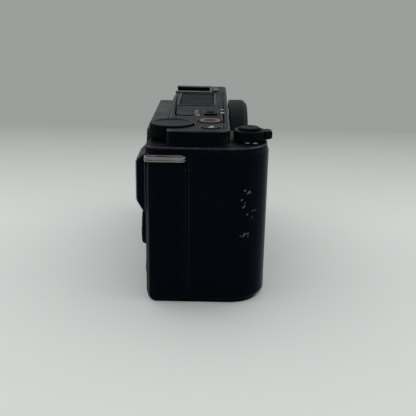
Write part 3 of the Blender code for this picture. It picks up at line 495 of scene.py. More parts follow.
# Base colours, as linear values
BLACK = (0.0013, 0.0019, 0.0034)
CAP_BLACK = (0.0075, 0.0078, 0.0084)
SATIN_BLACK = (0.0060, 0.0066, 0.0080)
CONTROL_BLACK = (0.0036, 0.0040, 0.0048)
RUBBER_BLACK = (0.0006, 0.0014, 0.0038)
SCREEN_BLACK = (0.006, 0.006, 0.008)
DISPLAY_BLACK = (0.010, 0.011, 0.016)
FILTER_TEAL = (0.02, 0.03, 0.035)
SCUFF_GREY = (0.27, 0.28, 0.29)
DUST_GREY = (0.32, 0.32, 0.31)
INNER_GREY = (0.045, 0.045, 0.048)
STEEL_GREY = (0.27, 0.27, 0.26)
GUNMETAL = (0.10, 0.10, 0.105)
BRASS = (0.78, 0.56, 0.25)
WARM_RED = (0.085, 0.030, 0.027)
MARK_WHITE = (0.72, 0.73, 0.72)
MARK_GREY = (0.30, 0.31, 0.32)
BOARD_GREEN = (0.012, 0.06, 0.035)
TRACE_GREEN = (0.02, 0.11, 0.06)
PAD_GOLD = (0.5, 0.4, 0.2)

# Tint of the gloss on black surfaces, extra gloss of the marked edges, and the rubber's pale rim
COOL_SHEEN = (0.72, 0.86, 1.0, 1.0)
EDGE_SHINE = 0.6
RUBBER_SHEEN = 0.65

# Directions in which metal is drawn
ALONG_Y = (1.0, 0.12, 1.0)
ALONG_X = (0.2, 1.0, 1.0)

# Finish name: material and the record's slot
FINISHES = {
    "shell": (moulded("shell_plastic", BLACK, 0.44, dust=0.06), "shell"),
    "satin": (
        moulded("satin_paint", SATIN_BLACK, 0.44, 0.3, 0.02, edge_wear_and_highlight=2.2, dust=0.06, shine=0.1), "shell",
    ),
    "control": (moulded("control_plastic", CONTROL_BLACK, 0.40, 0.22, 0.015, edge_wear_and_highlight=2.0), "control"),
    "trim": (moulded("satin_trim", CONTROL_BLACK, 0.36, 0.3, 0.01, edge_wear_and_highlight=2.0, shine=0.10), "shell"),
    "mesh": (moulded("grille_mesh", CONTROL_BLACK, 0.6, 0.3, 0.02, shine=0.06), "control"),
    "black_metal": (
        moulded("black_metal", CONTROL_BLACK, 0.38, 0.3, 0.01, edge_wear_and_highlight=3.0, shine=0.08), "dark_metal",
    ),
    "grip": (worn_rubber_painted_shade("grip_rubber", RUBBER_BLACK), "grip"),
    "pad": (worn_rubber_painted_shade("pad_rubber", RUBBER_BLACK), "grip"),
    "flap": (moulded("flap_rubber", SATIN_BLACK, 0.6, 0.3, 0.03), "grip"),
    "cap": (moulded("cap_plastic", CAP_BLACK, 0.46, 0.4, 0.03, dust=0.08, shine=0.05), "cap"),
    "steel": (metal("lug_steel", STEEL_GREY, 0.34, ALONG_Y), "steel"),
    "dark_metal": (metal("gunmetal", GUNMETAL, 0.45, ALONG_X), "dark_metal"),
    "red": (painted("red_trim", WARM_RED, 0.42), "red"),
    "screen": (glassy("screen_glass", SCREEN_BLACK, 0.06), "screen"),
    "display": (glassy("display_panel", DISPLAY_BLACK, 0.2), "screen"),
    "sensor_glass": (glassy("sensor_filter", FILTER_TEAL, 0.05, smear=0.03), "sensor_glass"),
    "board": (circuit("circuit_board"), "board"),
    "inner_plastic": (moulded("inner_plastic", INNER_GREY, 0.5, 0.5, 0.02), "inner_plastic"),
    "gold": (metal("gold_plate", BRASS, 0.3), "gold"),
    "mark": (painted("white_print", MARK_WHITE), "control"),
    "faint_mark": (painted("grey_print", MARK_GREY), "shell"),
}

# Body sizes that the frame's boxes don't give directly
GRIP_R = 13.0
GRIP_INNER_R = 6.0
FOOT_R = 2.2
REAR_FOOT_R = 4.0
FOOT_CUTS = 6
FOOT_FADE = 5   # the higher, the later the front foot sets in round the grip's corner
SHOULDER_GAP = 0.3
LAMP_PROUD = 0.2

SKIN = box_mm("grip_skin")
COVER = box_mm("top_cover")
TOP = COVER.high.z
REAR = COVER.high.y
NEAR_END = box_mm("rear_cover").low.x
SHOULDER = box_mm("zoom_lever").low.z - SHOULDER_GAP
FRONT_PLANE = box_mm("record_lamp").low.y + LAMP_PROUD
LENS = box_mm("lens_mount_ring").middle
SHUTTER = box_mm("shutter_button")

# The rubber skins: where they reach, how far they stand out, and their studs
SKIN_FOOT = 0.9
SKIN_TOP = 55.6
SKIN_REAR = 3.95
SKIN_DEPTH = 0.9
SKIN_PROUD = 0.25
SHEET_ROLL = 0.25
STUD_STEP = 0.55
STUD_HEIGHT = 0.3
STUD_BORDER = 0.6
STUD_SMOOTH_ANGLE = 18.0
# Painted tone of the sheet's borders, between the painted groove shade and the painted stud highlight
BORDER_PAINTED_TONE = 0.7
INNER_WRAP = math.radians(30)


def studded_sheet(name, place, length, height, back, wear=None):
    """A closed sheet over place(s, t) -> (point, outward normal), with fine raised diamonds.

    back(point, normal) gives the hidden side's point.
    """
    across = round(length / STUD_STEP)
    up = round(height / STUD_STEP)
    work = bmesh.new()
    wear_layer = work.verts.layers.float.new(WEAR_LAYER)
    stud_shade_layer = work.verts.layers.float.new(STUD_SHADE_LAYER)
    outside, inside = [], []
    for j in range(up + 1):
        outer_row, inner_row = [], []
        for i in range(across + 1):
            s, t = length * i / across, height * j / up
            rim = max(0.0, min(s, t, length - s, height - t))
            point, normal = place(s, t)
            raised = rim > STUD_BORDER and (i + j) % 2 == 0
            lift = SKIN_PROUD + (STUD_HEIGHT if raised else 0.0)
            if rim < SHEET_ROLL:
                lift -= SHEET_ROLL - math.sqrt(SHEET_ROLL ** 2 - (SHEET_ROLL - rim) ** 2)
            vert = work.verts.new(point + normal * lift)
            # The stud value paints shade into the grooves and a highlight on the stud tops; the borders
            # and the hidden side take a middle painted tone.
            vert[stud_shade_layer] = BORDER_PAINTED_TONE if rim <= STUD_BORDER else 0.0
            if raised:
                vert[stud_shade_layer] = 1.0
                vert[wear_layer] = wear(point) if wear else 0.0
            outer_row.append(vert)
            hidden = work.verts.new(back(point, normal))
            hidden[stud_shade_layer] = BORDER_PAINTED_TONE
            inner_row.append(hidden)
        outside.append(outer_row)
        inside.append(inner_row)
    bridge(work, outside, closed=False)
    bridge(work, inside, closed=False)
    loops = []
    for rows in (outside, inside):
        loop = rows[0] + [row[-1] for row in rows[1:]]
        loop += rows[-1][-2::-1] + [row[0] for row in rows[-2:0:-1]]
        loops.append(loop)
    bridge(work, loops)
    return mesh_from(work, name, Matrix.Scale(MM, 4), STUD_SMOOTH_ANGLE)


def skin_back(point, normal):
    return point - normal * SKIN_DEPTH


def foot_inset(z, radius):
    """How far the rounded foot draws the body in at a height."""
    drop = max(0.0, radius - z)
    return radius - math.sqrt(radius ** 2 - drop ** 2)


GRIP_AXIS = Vector((SKIN.low.x + GRIP_R, SKIN.low.y + GRIP_R))


def drawn_in(spot):
    """A point of the body, drawn in to the foot along the rear, the grip and the grip's corner."""
    x, y, z = spot
    front_inset = foot_inset(z, FOOT_R)
    y = min(y, REAR - foot_inset(z, REAR_FOOT_R))
    out = Vector((x, y)) - GRIP_AXIS
    if out.x < 0 and out.y < 0:
        reach = GRIP_R + front_inset * out.normalized().y ** FOOT_FADE
        if out.length > reach:
            x, y = GRIP_AXIS + out.normalized() * reach
    return Vector((x, max(y, SKIN.low.y + front_inset), z))


def on_curve(axis, radius, turn, z):
    """Point and outward normal of an upright round corner at a turn."""
    normal = Vector((math.cos(turn), math.sin(turn), 0))
    return Vector((*axis, z)) + normal * radius, normal


# Runs of the grip skin: along the end, round the corner and across the front to the inner curve
END_RUN = SKIN_REAR - GRIP_AXIS.y
CORNER_RUN = GRIP_R * math.pi / 2
INNER_AXIS = Vector((SKIN.high.x - GRIP_INNER_R / 2, SKIN.low.y + GRIP_INNER_R))
FRONT_RUN = INNER_AXIS.x - GRIP_AXIS.x


def grip_place(s, t):
    """Point and normal on the grip, s along its runs and t up from its foot."""
    z = SKIN_FOOT + t
    past_end = s - END_RUN
    past_corner = past_end - CORNER_RUN
    if past_end < 0:
        spot, normal = Vector((SKIN.low.x, SKIN_REAR - s, z)), Vector((-1, 0, 0))
    elif past_corner < 0:
        spot, normal = on_curve(GRIP_AXIS, GRIP_R, math.pi + past_end / GRIP_R, z)
    elif past_corner < FRONT_RUN:
        spot, normal = Vector((GRIP_AXIS.x + past_corner, SKIN.low.y, z)), Vector((0, -1, 0))
    else:
        turn = 1.5 * math.pi + (past_corner - FRONT_RUN) / GRIP_INNER_R
        spot, normal = on_curve(INNER_AXIS, GRIP_INNER_R, turn, z)
    return drawn_in(spot), normal


# Pale scuffs on the grip's end: (y, z, strength)
SCUFFS = (
    (-15.6, 42.4, 1.0), (-16.4, 41.6, 1.0), (-17.2, 40.9, 0.7), (-16.6, 40.2, 0.4),
    (-14.0, 38.8, 1.0), (-14.8, 38.0, 0.7), (-14.9, 36.6, 0.8), (-14.2, 37.3, 0.4),
    (-16.1, 35.2, 0.35), (-16.4, 33.3, 0.9), (-18.5, 34.6, 0.8), (-17.9, 32.1, 0.55),
    (-16.9, 26.4, 1.0), (-15.6, 25.9, 0.9), (-15.0, 26.6, 0.6), (-14.1, 25.7, 0.7),
    (-16.4, 25.1, 0.7), (-12.7, 27.2, 0.5), (-13.4, 26.4, 0.45), (-14.8, 24.9, 0.4),
    (-15.6, 24.3, 0.5),
)


def scuff(point):
    """How worn the stud at a point is: the strength of the scuff that lies on it, if any."""
    if point.x > GRIP_AXIS.x:
        return 0.0
    for y, z, strength in SCUFFS:
        if abs(point.y - y) + abs(point.z - z) < STUD_STEP:
            return strength
    return 0.0


def make_grip_skin():
    length = END_RUN + CORNER_RUN + FRONT_RUN + GRIP_INNER_R * INNER_WRAP
    height = SKIN_TOP - SKIN_FOOT
    mesh = studded_sheet("grip_skin_rubber", grip_place, length, height, skin_back, scuff)
    add("grip_skin_rubber", mesh, "grip", "grip_skin", "grip_skin")


END_FRONT = 5.3
END_CORNER_R = 4.0
END_WRAP = math.radians(50)
SEAM_STRIP = 1.0


def make_end_skin():
    """The same fine diamonds on the rear half of the end face, round into the rear corner."""
    flat = REAR - END_CORNER_R - END_FRONT
    axis = (NEAR_END + END_CORNER_R, REAR - END_CORNER_R)

    def place(s, t):
        z = SKIN_FOOT + t
        spot, normal = Vector((NEAR_END, END_FRONT + s, z)), Vector((-1, 0, 0))
        if s > flat:
            spot, normal = on_curve(axis, END_CORNER_R, math.pi - (s - flat) / END_CORNER_R, z)
        return drawn_in(spot), normal

    length, height = flat + END_CORNER_R * END_WRAP, SKIN_TOP - SKIN_FOOT
    mesh = studded_sheet("end_skin_rubber", place, length, height, skin_back)
    add("end_skin_rubber", mesh, "pad", "rear_cover")
    # The seam strip carries no stud values, so it takes the rubber's painted groove shade and shows as a
    # dark line.
    strip = [rectangle(SEAM_STRIP, height, 0.2)]
    origin = (NEAR_END, (SKIN_REAR + END_FRONT) / 2, (SKIN_TOP + SKIN_FOOT) / 2)
    add_pushed("end_seam_strip", strip, -0.4, SKIN_PROUD, "near", origin, "pad", "rear_cover", edge=0.1)


# The thumb rest's ramps, with the rounding where each meets the flat
THUMB_LOW_RAMP, THUMB_LOW_R = 4.2, 2.5
THUMB_HIGH_RAMP, THUMB_HIGH_R = 2.4, 1.6
THUMB_SINK = 0.2


def make_thumb_rest():
    low, high, _, size = box_mm("thumb_rest")
    corners = [
        (low.z, 0.0, 0.0), (low.z + THUMB_LOW_RAMP, size.y, THUMB_LOW_R),
        (high.z - THUMB_HIGH_RAMP, size.y, THUMB_HIGH_R), (high.z, 0.0, 0.0),
    ]
    path = rounded(corners, closed=False, steps=8)
    steps = [(b - a).length for a, b in zip(path, path[1:])]

    def place(s, t):
        left = t
        for i, step in enumerate(steps):
            if left <= step or i == len(steps) - 1:
                break
            left -= step
        along = (path[i + 1] - path[i]).normalized()
        spot = path[i] + along * left
        return Vector((low.x + s, low.y + spot.y, spot.x)), Vector((0, along.x, -along.y))

    def back(point, normal):
        return Vector((point.x, low.y - THUMB_SINK, point.z))

    mesh = studded_sheet("thumb_rest_pad", place, size.x, sum(steps), back)
    add("thumb_rest_pad", mesh, "pad", "thumb_rest", "thumb_rest")


def round_foot(mesh):
    """Draws the lower edges of a shell in to the foot's curve."""
    work = bmesh.new()
    work.from_mesh(mesh)
    for cut in range(1, FOOT_CUTS):
        level = Vector((0, 0, REAR_FOOT_R * MM * cut / FOOT_CUTS))
        everything = [*work.verts, *work.edges, *work.faces]
        bmesh.ops.bisect_plane(work, geom=everything, plane_co=level, plane_no=(0, 0, 1), dist=WELD * MM)
    for vert in work.verts:
        spot = vert.co / MM
        spot.z = max(0.0, spot.z)
        vert.co.xy = drawn_in(spot).xy * MM
    work.to_mesh(mesh)
    work.free()
    return mesh


def make_shells():
    add_softened("top_cover_shell", "top_cover", 0.5, 3, "shell")
    for node, finish in (("front_cover", "satin"), ("rear_cover", "satin"), ("base_plate", "shell")):
        add(node + "_shell", round_foot(softened(node, 0.15, 3)), finish, node, node)


# The strap lugs: a flat bar with a groove along its outside, bent into a loop, and its neck
LUG_WIRE = 1.0
LUG_EDGE_R = 0.3
LUG_CORNER_R = 1.5
LUG_SINK = 0.4
GROOVE_DEPTH = 0.4
GROOVE_LIP = 0.32
GROOVE_FLOOR = 0.2
NECK_WIDTH = 6.4
NECK_SHIFT = 1.0
NECK_EDGE = 0.15


def make_lugs():
    for node, side in (("strap_lug_near", -1), ("strap_lug_far", 1)):
        low, high, centre, size = box_mm(node)
        outer, inner = (low.x, COVER.low.x) if side < 0 else (high.x, COVER.high.x)
        depth = abs(outer - inner) + LUG_SINK
        middle = (outer - side * depth / 2, centre.y)
        out, half = LUG_WIRE / 2, size.z / 2
        section = [
            (out, -half, LUG_EDGE_R), (out, -GROOVE_LIP, 0.1),
            (out - GROOVE_DEPTH, -GROOVE_FLOOR, 0), (out - GROOVE_DEPTH, GROOVE_FLOOR, 0),
            (out, GROOVE_LIP, 0.1), (out, half, LUG_EDGE_R), (-out, half, LUG_EDGE_R),
            (-out, -half, LUG_EDGE_R),
        ]
        work = bmesh.new()
        section = rounded(section, steps=4)
        frame_into(work, section, depth - LUG_WIRE, size.y - LUG_WIRE, LUG_CORNER_R, middle, steps=8)
        neck = rectangle(depth, NECK_WIDTH, 0.3, (inner - side * NECK_SHIFT, middle[1]))
        push_into(work, neck, NECK_EDGE - half, half - NECK_EDGE, NECK_EDGE, both=True)
        add_work(node + "_loop", work, "up", (0, 0, centre.z), "steel", node, node)


KNURL_SLOPE = 2.6


def knurl(count, depth, bottom, top, outer):
    """Ridges round a rim of radius outer, between two heights."""

    def ripple(turn, radius, height):
        if radius < outer - 0.05 or not bottom < height < top:
            return radius
        phase = turn * count / math.tau % 1.0
        return radius - depth * (1 - min(1.0, KNURL_SLOPE * min(phase, 1 - phase)))

    return ripple


# Top controls
STEM_R = 2.0
DIAL_TEETH = 64
DIAL_TOOTH = 0.28
DIAL_DISH = 0.35
LEVER_TEETH = 48
LEVER_TOOTH = 0.18
LEVER_GAP = 0.4
NUB_WIDTH = 5.0
NUB_ROOT = 0.6
NUB_RIBS = spaced(5, 0.9)


def make_control_dial():
    low, high, middle, size = box_mm("control_dial")
    radius, top, foot = size.x / 2, high.z - SHOULDER, low.z - SHOULDER
    profile = [
        (0, top - DIAL_DISH, 0), (radius - 2.2, top - DIAL_DISH, 0.5),
        (radius - 1.5, top, 0.4), (radius - 0.2, top, 0.1), (radius, top - 0.2, 0.1),
        (radius, top - 0.5, 0), (radius, 0.9, 0), (radius, 0.4, 0.2),
        (radius - 0.6, 0.0, 0), (STEM_R, 0.0, 0), (STEM_R, foot, 0), (0, foot, 0),
    ]
    add_turned(
        "control_dial_knob", profile, "up", (middle.x, middle.y, SHOULDER), "control",
        "control_dial", "control_dial",
        sides=DIAL_TEETH * 6, ripple=knurl(DIAL_TEETH, DIAL_TOOTH, 0.5, top - 0.3, radius),
    )


def make_shutter_button():
    radius, top, foot = SHUTTER.size.x / 2, SHUTTER.high.z - SHOULDER, SHUTTER.low.z - SHOULDER
    profile = [
        (0, top - 0.4, 0), (radius - 1.0, top - 0.12, 2.0), (radius - 0.55, top, 0.3),
        (radius, top - 0.4, 0.25), (radius, 1.5, 0.1), (STEM_R, 1.5, 0), (STEM_R, foot, 0),
        (0, foot, 0),
    ]
    origin = (SHUTTER.middle.x, SHUTTER.middle.y, SHOULDER)
    add_turned("shutter_button_cap", profile, "up", origin, "control", "shutter_button", "shutter_button")


def make_zoom_lever():
    """A knurled ring round the shutter button, with a ribbed nub to the front."""
    axis = SHUTTER.middle
    low, high, _, _ = box_mm("zoom_lever")
    inner, outer = SHUTTER.size.x / 2 + LEVER_GAP, high.y - axis.y
    base, top = low.z - SHOULDER, high.z - SHOULDER
    ring = [
        (outer, base, 0.15), (inner, base, 0), (inner, top - 0.2, 0),
        (inner + 0.25, top, 0.15), (outer - 0.35, top, 0.25), (outer, top - 0.4, 0.2),
        (outer, top - 0.6, 0), (outer, base + 0.5, 0),
    ]
    work = bmesh.new()
    ripple = knurl(LEVER_TEETH, LEVER_TOOTH, base + 0.3, top - 0.5, outer)
    ring_into(work, ring, 4, LEVER_TEETH * 6, ripple)
    front, back = low.y - axis.y, -(inner + NUB_ROOT)
    nub = rectangle(NUB_WIDTH, back - front, 1.1, (0, (back + front) / 2))
    push_into(work, nub, base + 0.4, top - 0.15, 0.4, both=True)
    for x in NUB_RIBS:
        rib = rectangle(0.5, 0.8, 0.2, (x, front + 0.15))
        push_into(work, rib, base + 0.8, top - 0.6, 0.15, both=True)
    origin = (axis.x, axis.y, SHOULDER)
    add_work("zoom_lever_ring", work, "up", origin, "control", "zoom_lever", "zoom_lever")


PRINT_LIFT = 0.04
PRINT_SINK = 0.2


def printed(name, outlines, facing, origin, on, finish="mark"):
    """Flat marks that stand a hair above a surface."""
    add_pushed(name, outlines, -PRINT_SINK, PRINT_LIFT, facing, origin, finish, on, edge=0)


WORD_SIZE = 2.3


def lettered(name, words, x, y):
    """Plain printed words on the top cover, read from the front."""
    curve = bpy.data.curves.new(name, "FONT")
    curve.body = words
    curve.size = WORD_SIZE
    curve.align_x = "CENTER"
    curve.align_y = "CENTER"
    curve.extrude = PRINT_LIFT
    guide = in_scene(name + "_guide", curve)
    bpy.context.view_layer.update()
    mesh = bpy.data.meshes.new_from_object(guide.evaluated_get(bpy.context.evaluated_depsgraph_get()))
    bpy.data.objects.remove(guide)
    mesh.transform(placed("read_up", (x, y, TOP)))
    mesh.materials.clear()
    add(name, mesh, "faint_mark", "top_cover")


def add_button(name, node, facing, level, ledge, thick, proud=None, dish=0.12):
    """A press button: dished head, straight sides and a hidden flange, ledge wide and thick.

    level is how far out the panel lies, and proud how far the head stands above it.
    """
    box, out = box_mm(node), Vector(FACING[facing][2])
    flange, half, depth = box.size.x / 2, abs(out.dot(box.size)) / 2, out.dot(box.middle) - level
    foot, radius = depth - half, flange - ledge
    top = depth + half if proud is None else proud
    profile = [
        (0, top - dish, 0), (radius * 0.7, top - dish * 0.7, radius),
        (radius - 0.35, top, 0.25), (radius, top - 0.3, 0.2), (radius, foot + thick, 0),
        (flange, foot + thick, 0), (flange, foot, 0), (0, foot, 0),
    ]
    add_turned(name, profile, facing, box.middle - out * depth, "control", node, node)


TOP_LEDGE = 0.95
TOP_FLANGE = 1.0
RECORD_RING = ((3.75, -0.3, 0), (2.5, -0.3, 0), (2.5, 0.06, 0.12), (3.75, 0.06, 0.12))
CUSTOM_ICON = (circle(0.8, (1.0, -0.35)), rectangle(1.3, 2.0, 0.3, (-0.7, 0.0)))
ICON_SINK = 0.08


def make_top_buttons():
    for node in ("custom_button", "record_button", "mode_button"):
        add_button(node + "_cap", node, "up", TOP, TOP_LEDGE, TOP_FLANGE)
    work = bmesh.new()
    ring_into(work, RECORD_RING, 3, 72)
    add_work("record_ring", work, "up", face_of("record_button", "up"), "red", "record_button")
    origin = face_of("custom_button", "up", -ICON_SINK)
    printed("custom_icon", CUSTOM_ICON, "up", origin, "custom_button", "faint_mark")


SWITCH_RIB = (0.5, 3.2, 0.2)
SWITCH_RIB_PLACES = spaced(4, 1.1)
SLOT_FLOOR = (13.0, 6.4)
SLOT_SHIFT = 2.2
SLOT_RAISE = 0.6

# Printed on the top cover: words at (x, y), and marks with their outlines and places
TOP_WORDS = {
    "power_off_word": ("OFF", -22.2, 2.3),
    "power_on_word": ("ON", -13.9, 2.9),
    "custom_number": ("1", -40.8, -7.5),
}
TOP_MARKS = {
    "photo_mark": (rectangle(2.2, 1.5, 0.3), -16.8, -7.4),
    "film_mark": (circle(0.8), -9.8, -7.4),
    "power_divider": (rectangle(0.6, 1.7, 0.1), -17.9, 2.7),
}


def make_power_switch():
    add_softened("power_switch_knob", "power_switch", 0.2, 3, "control")
    low, _, middle, _ = box_mm("power_switch")
    add_ribs("power_switch_ribs", "power_switch", "up", SWITCH_RIB, SWITCH_RIB_PLACES, 0.25, "control")
    for name, (words, x, y) in TOP_WORDS.items():
        lettered(name, words, x, y)
    for name, (outline, x, y) in TOP_MARKS.items():
        printed(name, [outline], "up", (x, y, TOP), "top_cover", "faint_mark")
    floor = [rectangle(*SLOT_FLOOR, 0.5)]
    slot = (middle.x + SLOT_SHIFT, middle.y, low.z + SLOT_RAISE)
    add_pushed("power_slide_plate", floor, -0.4, 0.0, "up", slot, "control", "top_cover", edge=0.1)


ZOOM_MINUS = (-48.4, -16.0)
ZOOM_PLUS = (-48.6, -18.8)


def make_zoom_marks():
    minus = [rectangle(0.5, 1.7, 0.1)]
    plus = [*minus, rectangle(1.4, 0.5, 0.1)]
    printed("zoom_minus", minus, "up", (*ZOOM_MINUS, SHOULDER), "top_cover")
    printed("zoom_plus", plus, "up", (*ZOOM_PLUS, SHOULDER), "top_cover")


GRILLE_CELL = 0.75
GRILLE_HOLE = 0.22
GRILLE_SHEET = 0.4
HOLE_SIDES = 8
FOAM_INSET = 0.2
FOAM_DROP = 0.25

# Section of the grille's frame: distance outside the grille and height
MIC_FRAME = ((0.35, -0.2), (0.35, 0.22), (1.0, 0.22), (1.0, -0.2))


def make_mic_grille():
    low, high, middle, size = box_mm("mic_grille")
    columns, rows = round(size.x / GRILLE_CELL), round(size.y / GRILLE_CELL)
    cell = Vector((size.x / columns, size.y / rows))
    work = bmesh.new()
    for index in range(columns * rows):
        x = low.x + cell.x * (index % columns + 0.5)
        y = low.y + cell.y * (index // columns + 0.5)
        hole, rim = [], []
        for u, v in circle(1.0, sides=HOLE_SIDES):
            reach = 0.5 / max(abs(u), abs(v))
            hole.append(work.verts.new((x + GRILLE_HOLE * u, y + GRILLE_HOLE * v, high.z)))
            rim.append(work.verts.new((x + cell.x * reach * u, y + cell.y * reach * v, high.z)))
        bridge(work, [rim, hole])
    bmesh.ops.remove_doubles(work, verts=work.verts, dist=WELD)
    bmesh.ops.recalc_face_normals(work, faces=work.faces)
    bmesh.ops.solidify(work, geom=list(work.faces), thickness=GRILLE_SHEET)
    mesh = mesh_from(work, "mic_grille_mesh", Matrix.Scale(MM, 4))
    add("mic_grille_mesh", mesh, "mesh", "mic_grille", "mic_grille")
    foam = [rectangle(size.x - 2 * FOAM_INSET, size.y - 2 * FOAM_INSET, 0.8)]
    origin = (middle.x, middle.y, high.z - GRILLE_SHEET - FOAM_DROP)
    add_pushed("mic_foam", foam, -0.4, 0.0, "up", origin, "inner_plastic", "mic_grille")
    work = bmesh.new()
    frame_into(work, MIC_FRAME, size.x, size.y, 0.7)
    rims = [e for e in work.edges if all(v.co.z > 0 for v in e.verts) and e.calc_face_angle() > 1.0]
    bevel(work, rims, 0.1, 2)
    add_work("mic_frame", work, "up", (middle.x, middle.y, TOP), "trim", "mic_grille")


CONTACT_STEP = 1.7
CONTACT_Y = -3.2
SPRING_AT = (7.6, 1.0)
STOP_SHIFT = 1.6


def make_shoe():
    add_softened("shoe_rail_set", "shoe_rails", 0.18, 3, "black_metal")
    add_softened("shoe_plate", "shoe_floor", 0.12, 2, "black_metal")
    origin = face_of("shoe_floor", "up")
    pads = [rectangle(0.9, 2.2, 0.2, (x, CONTACT_Y)) for x in spaced(9, CONTACT_STEP)]
    add_pushed("shoe_contacts", pads, -0.2, 0.15, "up", origin, "gold", "shoe_floor", edge=0.06)
    for name, side in (("shoe_spring_near", -1), ("shoe_spring_far", 1)):
        spring = [rectangle(1.5, 9.0, 0.6, (side * SPRING_AT[0], SPRING_AT[1]))]
        add_pushed(name, spring, 0.5, 0.85, "up", origin, "steel", "shoe_floor", edge=0.12, both=True)
    stop = [rectangle(11.0, 2.6, 0.6)]
    origin = (origin.x, box_mm("shoe_rails").low.y - STOP_SHIFT, TOP)
    add_pushed("shoe_stop", stop, -0.3, 0.45, "up", origin, "trim", "top_cover", edge=0.25)


# Front: body cap, lens release and record lamp
CAP_FLUTES = 160
CAP_FLUTE_DEPTH = 0.12
CAP_DISH = 0.5
CAP_WALL = 2.0
CAP_SKIRT_WALL = 2.6
CAP_SKIRT_GAP = 0.4
CAP_TUBE_INSET = 4.9
CAP_INDEX_INSET = 4.5
RELEASE_LEDGE = 0.8
RELEASE_FLANGE = 0.8
LAMP_FOOT = -2.4
MOUNT_INDEX = (-22.3, 21.5)


def make_body_cap():
    low, high, _, size = box_mm("body_cap")
    radius, face, skirt = size.x / 2, -low.y, CAP_SKIRT_GAP - FRONT_PLANE
    tube, tube_end, under = box_mm("lens_mount_ring").size.x / 2 - CAP_TUBE_INSET, -high.y, face - CAP_WALL
    profile = [
        (0, face - CAP_DISH, 0), (radius * 0.42, face - CAP_DISH, 0.6),
        (radius * 0.46, face, 0.6), (radius - 1.7, face, 1.5), (radius, face - 1.9, 1.2),
        (radius, face - 2.6, 0), (radius, skirt + 1.0, 0), (radius, skirt + 0.5, 0),
        (radius - 0.3, skirt, 0), (radius - CAP_SKIRT_WALL, skirt, 0),
        (radius - CAP_SKIRT_WALL, under, 0), (tube, under, 0), (tube, tube_end, 0.3),
        (tube - CAP_WALL, tube_end, 0.3), (tube - CAP_WALL, under, 0), (0, under, 0),
    ]
    add_turned(
        "body_cap_shell", profile, "front", (LENS.x, 0, LENS.z), "cap", "body_cap", "body_cap",
        sides=CAP_FLUTES * 4,
        ripple=knurl(CAP_FLUTES, CAP_FLUTE_DEPTH, skirt + 0.8, face - 2.3, radius),
    )
    dot = [circle(0.9, (0, radius - CAP_INDEX_INSET))]
    printed("cap_index", dot, "front", face_of("body_cap", "front"), "body_cap")


def make_front_details():
    node = "lens_release_button"
    add_button("release_cap", node, "front", -FRONT_PLANE, RELEASE_LEDGE, RELEASE_FLANGE, dish=0.35)
    node = "record_lamp"
    _, _, middle, size = box_mm(node)
    radius = size.x / 2
    dome = [
        (0, 0.35, 0), (radius * 0.75, 0.3, 1.2), (radius, 0.0, 0.2), (radius, LAMP_FOOT, 0),
        (0, LAMP_FOOT, 0),
    ]
    origin = (middle.x, FRONT_PLANE, middle.z)
    add_turned("record_lamp_lens", dome, "front", origin, "red", node, node, sides=48)
    index = (LENS.x + MOUNT_INDEX[0], FRONT_PLANE, LENS.z + MOUNT_INDEX[1])
    printed("mount_index", [circle(1.0)], "front", index, "front_cover")


# Rear: control wheel, buttons and the swing-out monitor
WHEEL_TEETH = 60
WHEEL_TOOTH = 0.4
WHEEL_RIDGE = 0.22
WHEEL_GAP = 0.3
WHEEL_DOT_REACH = 0.9
REAR_BUTTON_PROUD = 0.25
REAR_LEDGE = 0.8
REAR_FLANGE = 0.8
CENTRE_STEM_R = 1.5
CENTRE_FOOT_R = 2.5


def make_control_wheel():
    low, high, middle, size = box_mm("control_wheel")
    radius, bore = size.x / 2, box_mm("centre_button").size.x / 2 + WHEEL_GAP
    top, base = high.y - REAR, low.y - REAR
    corners = [
        (radius, base, 0), (bore, base, 0), (bore, top - 0.35, 0.1),
        (bore + 0.7, top - 0.05, 0.3), (radius - 0.5, top, 0.3), (radius, top - 0.45, 0.2),
        (radius, top - 0.6, 0), (radius, base + 0.3, 0),
    ]
    work = bmesh.new()
    ripple = knurl(WHEEL_TEETH, WHEEL_TOOTH, base + 0.1, top + 0.1, radius - 0.5)
    ring_into(work, corners, 3, WHEEL_TEETH * 6, ripple)
    origin = (middle.x, REAR, middle.z)
    add_work("control_wheel_ring", work, "rear", origin, "control", "control_wheel", "control_wheel")
    ridges = []
    for tooth in range(WHEEL_TEETH):
        turn = Matrix.Rotation(math.tau * tooth / WHEEL_TEETH, 2)
        ridges.append([turn @ point for point in rectangle(1.4, 0.34, 0.12, (radius - 1.0, 0), 2)])
    add_pushed(
        "control_wheel_ridges", ridges, top - 0.4, top + WHEEL_RIDGE, "rear", origin,
        "control", "control_wheel", edge=0.08,
    )
    reach = bore + WHEEL_DOT_REACH
    dots = [circle(0.35, (reach * u, reach * v), 16) for u, v in ((0, 1), (1, 0), (0, -1), (-1, 0))]
    printed("wheel_marks", dots, "rear", (middle.x, REAR + top - 0.06, middle.z), "control_wheel")


# Plain pictograms on the rear buttons: lines, dots, an arrow and a bin
REAR_ICONS = {
    "menu_button": [rectangle(2.0, 0.3, 0.1, (0, row)) for row in spaced(3, 0.7)],
    "function_button": [circle(0.4, (step, 0), 20) for step in spaced(3, 1.1)],
    "playback_button": [triangle(1.4)],
    "delete_button": [rectangle(1.6, 1.5, 0.3, (0, -0.3)), rectangle(2.2, 0.35, 0.1, (0, 0.85))],
}
REAR_ICON_SINK = 0.07


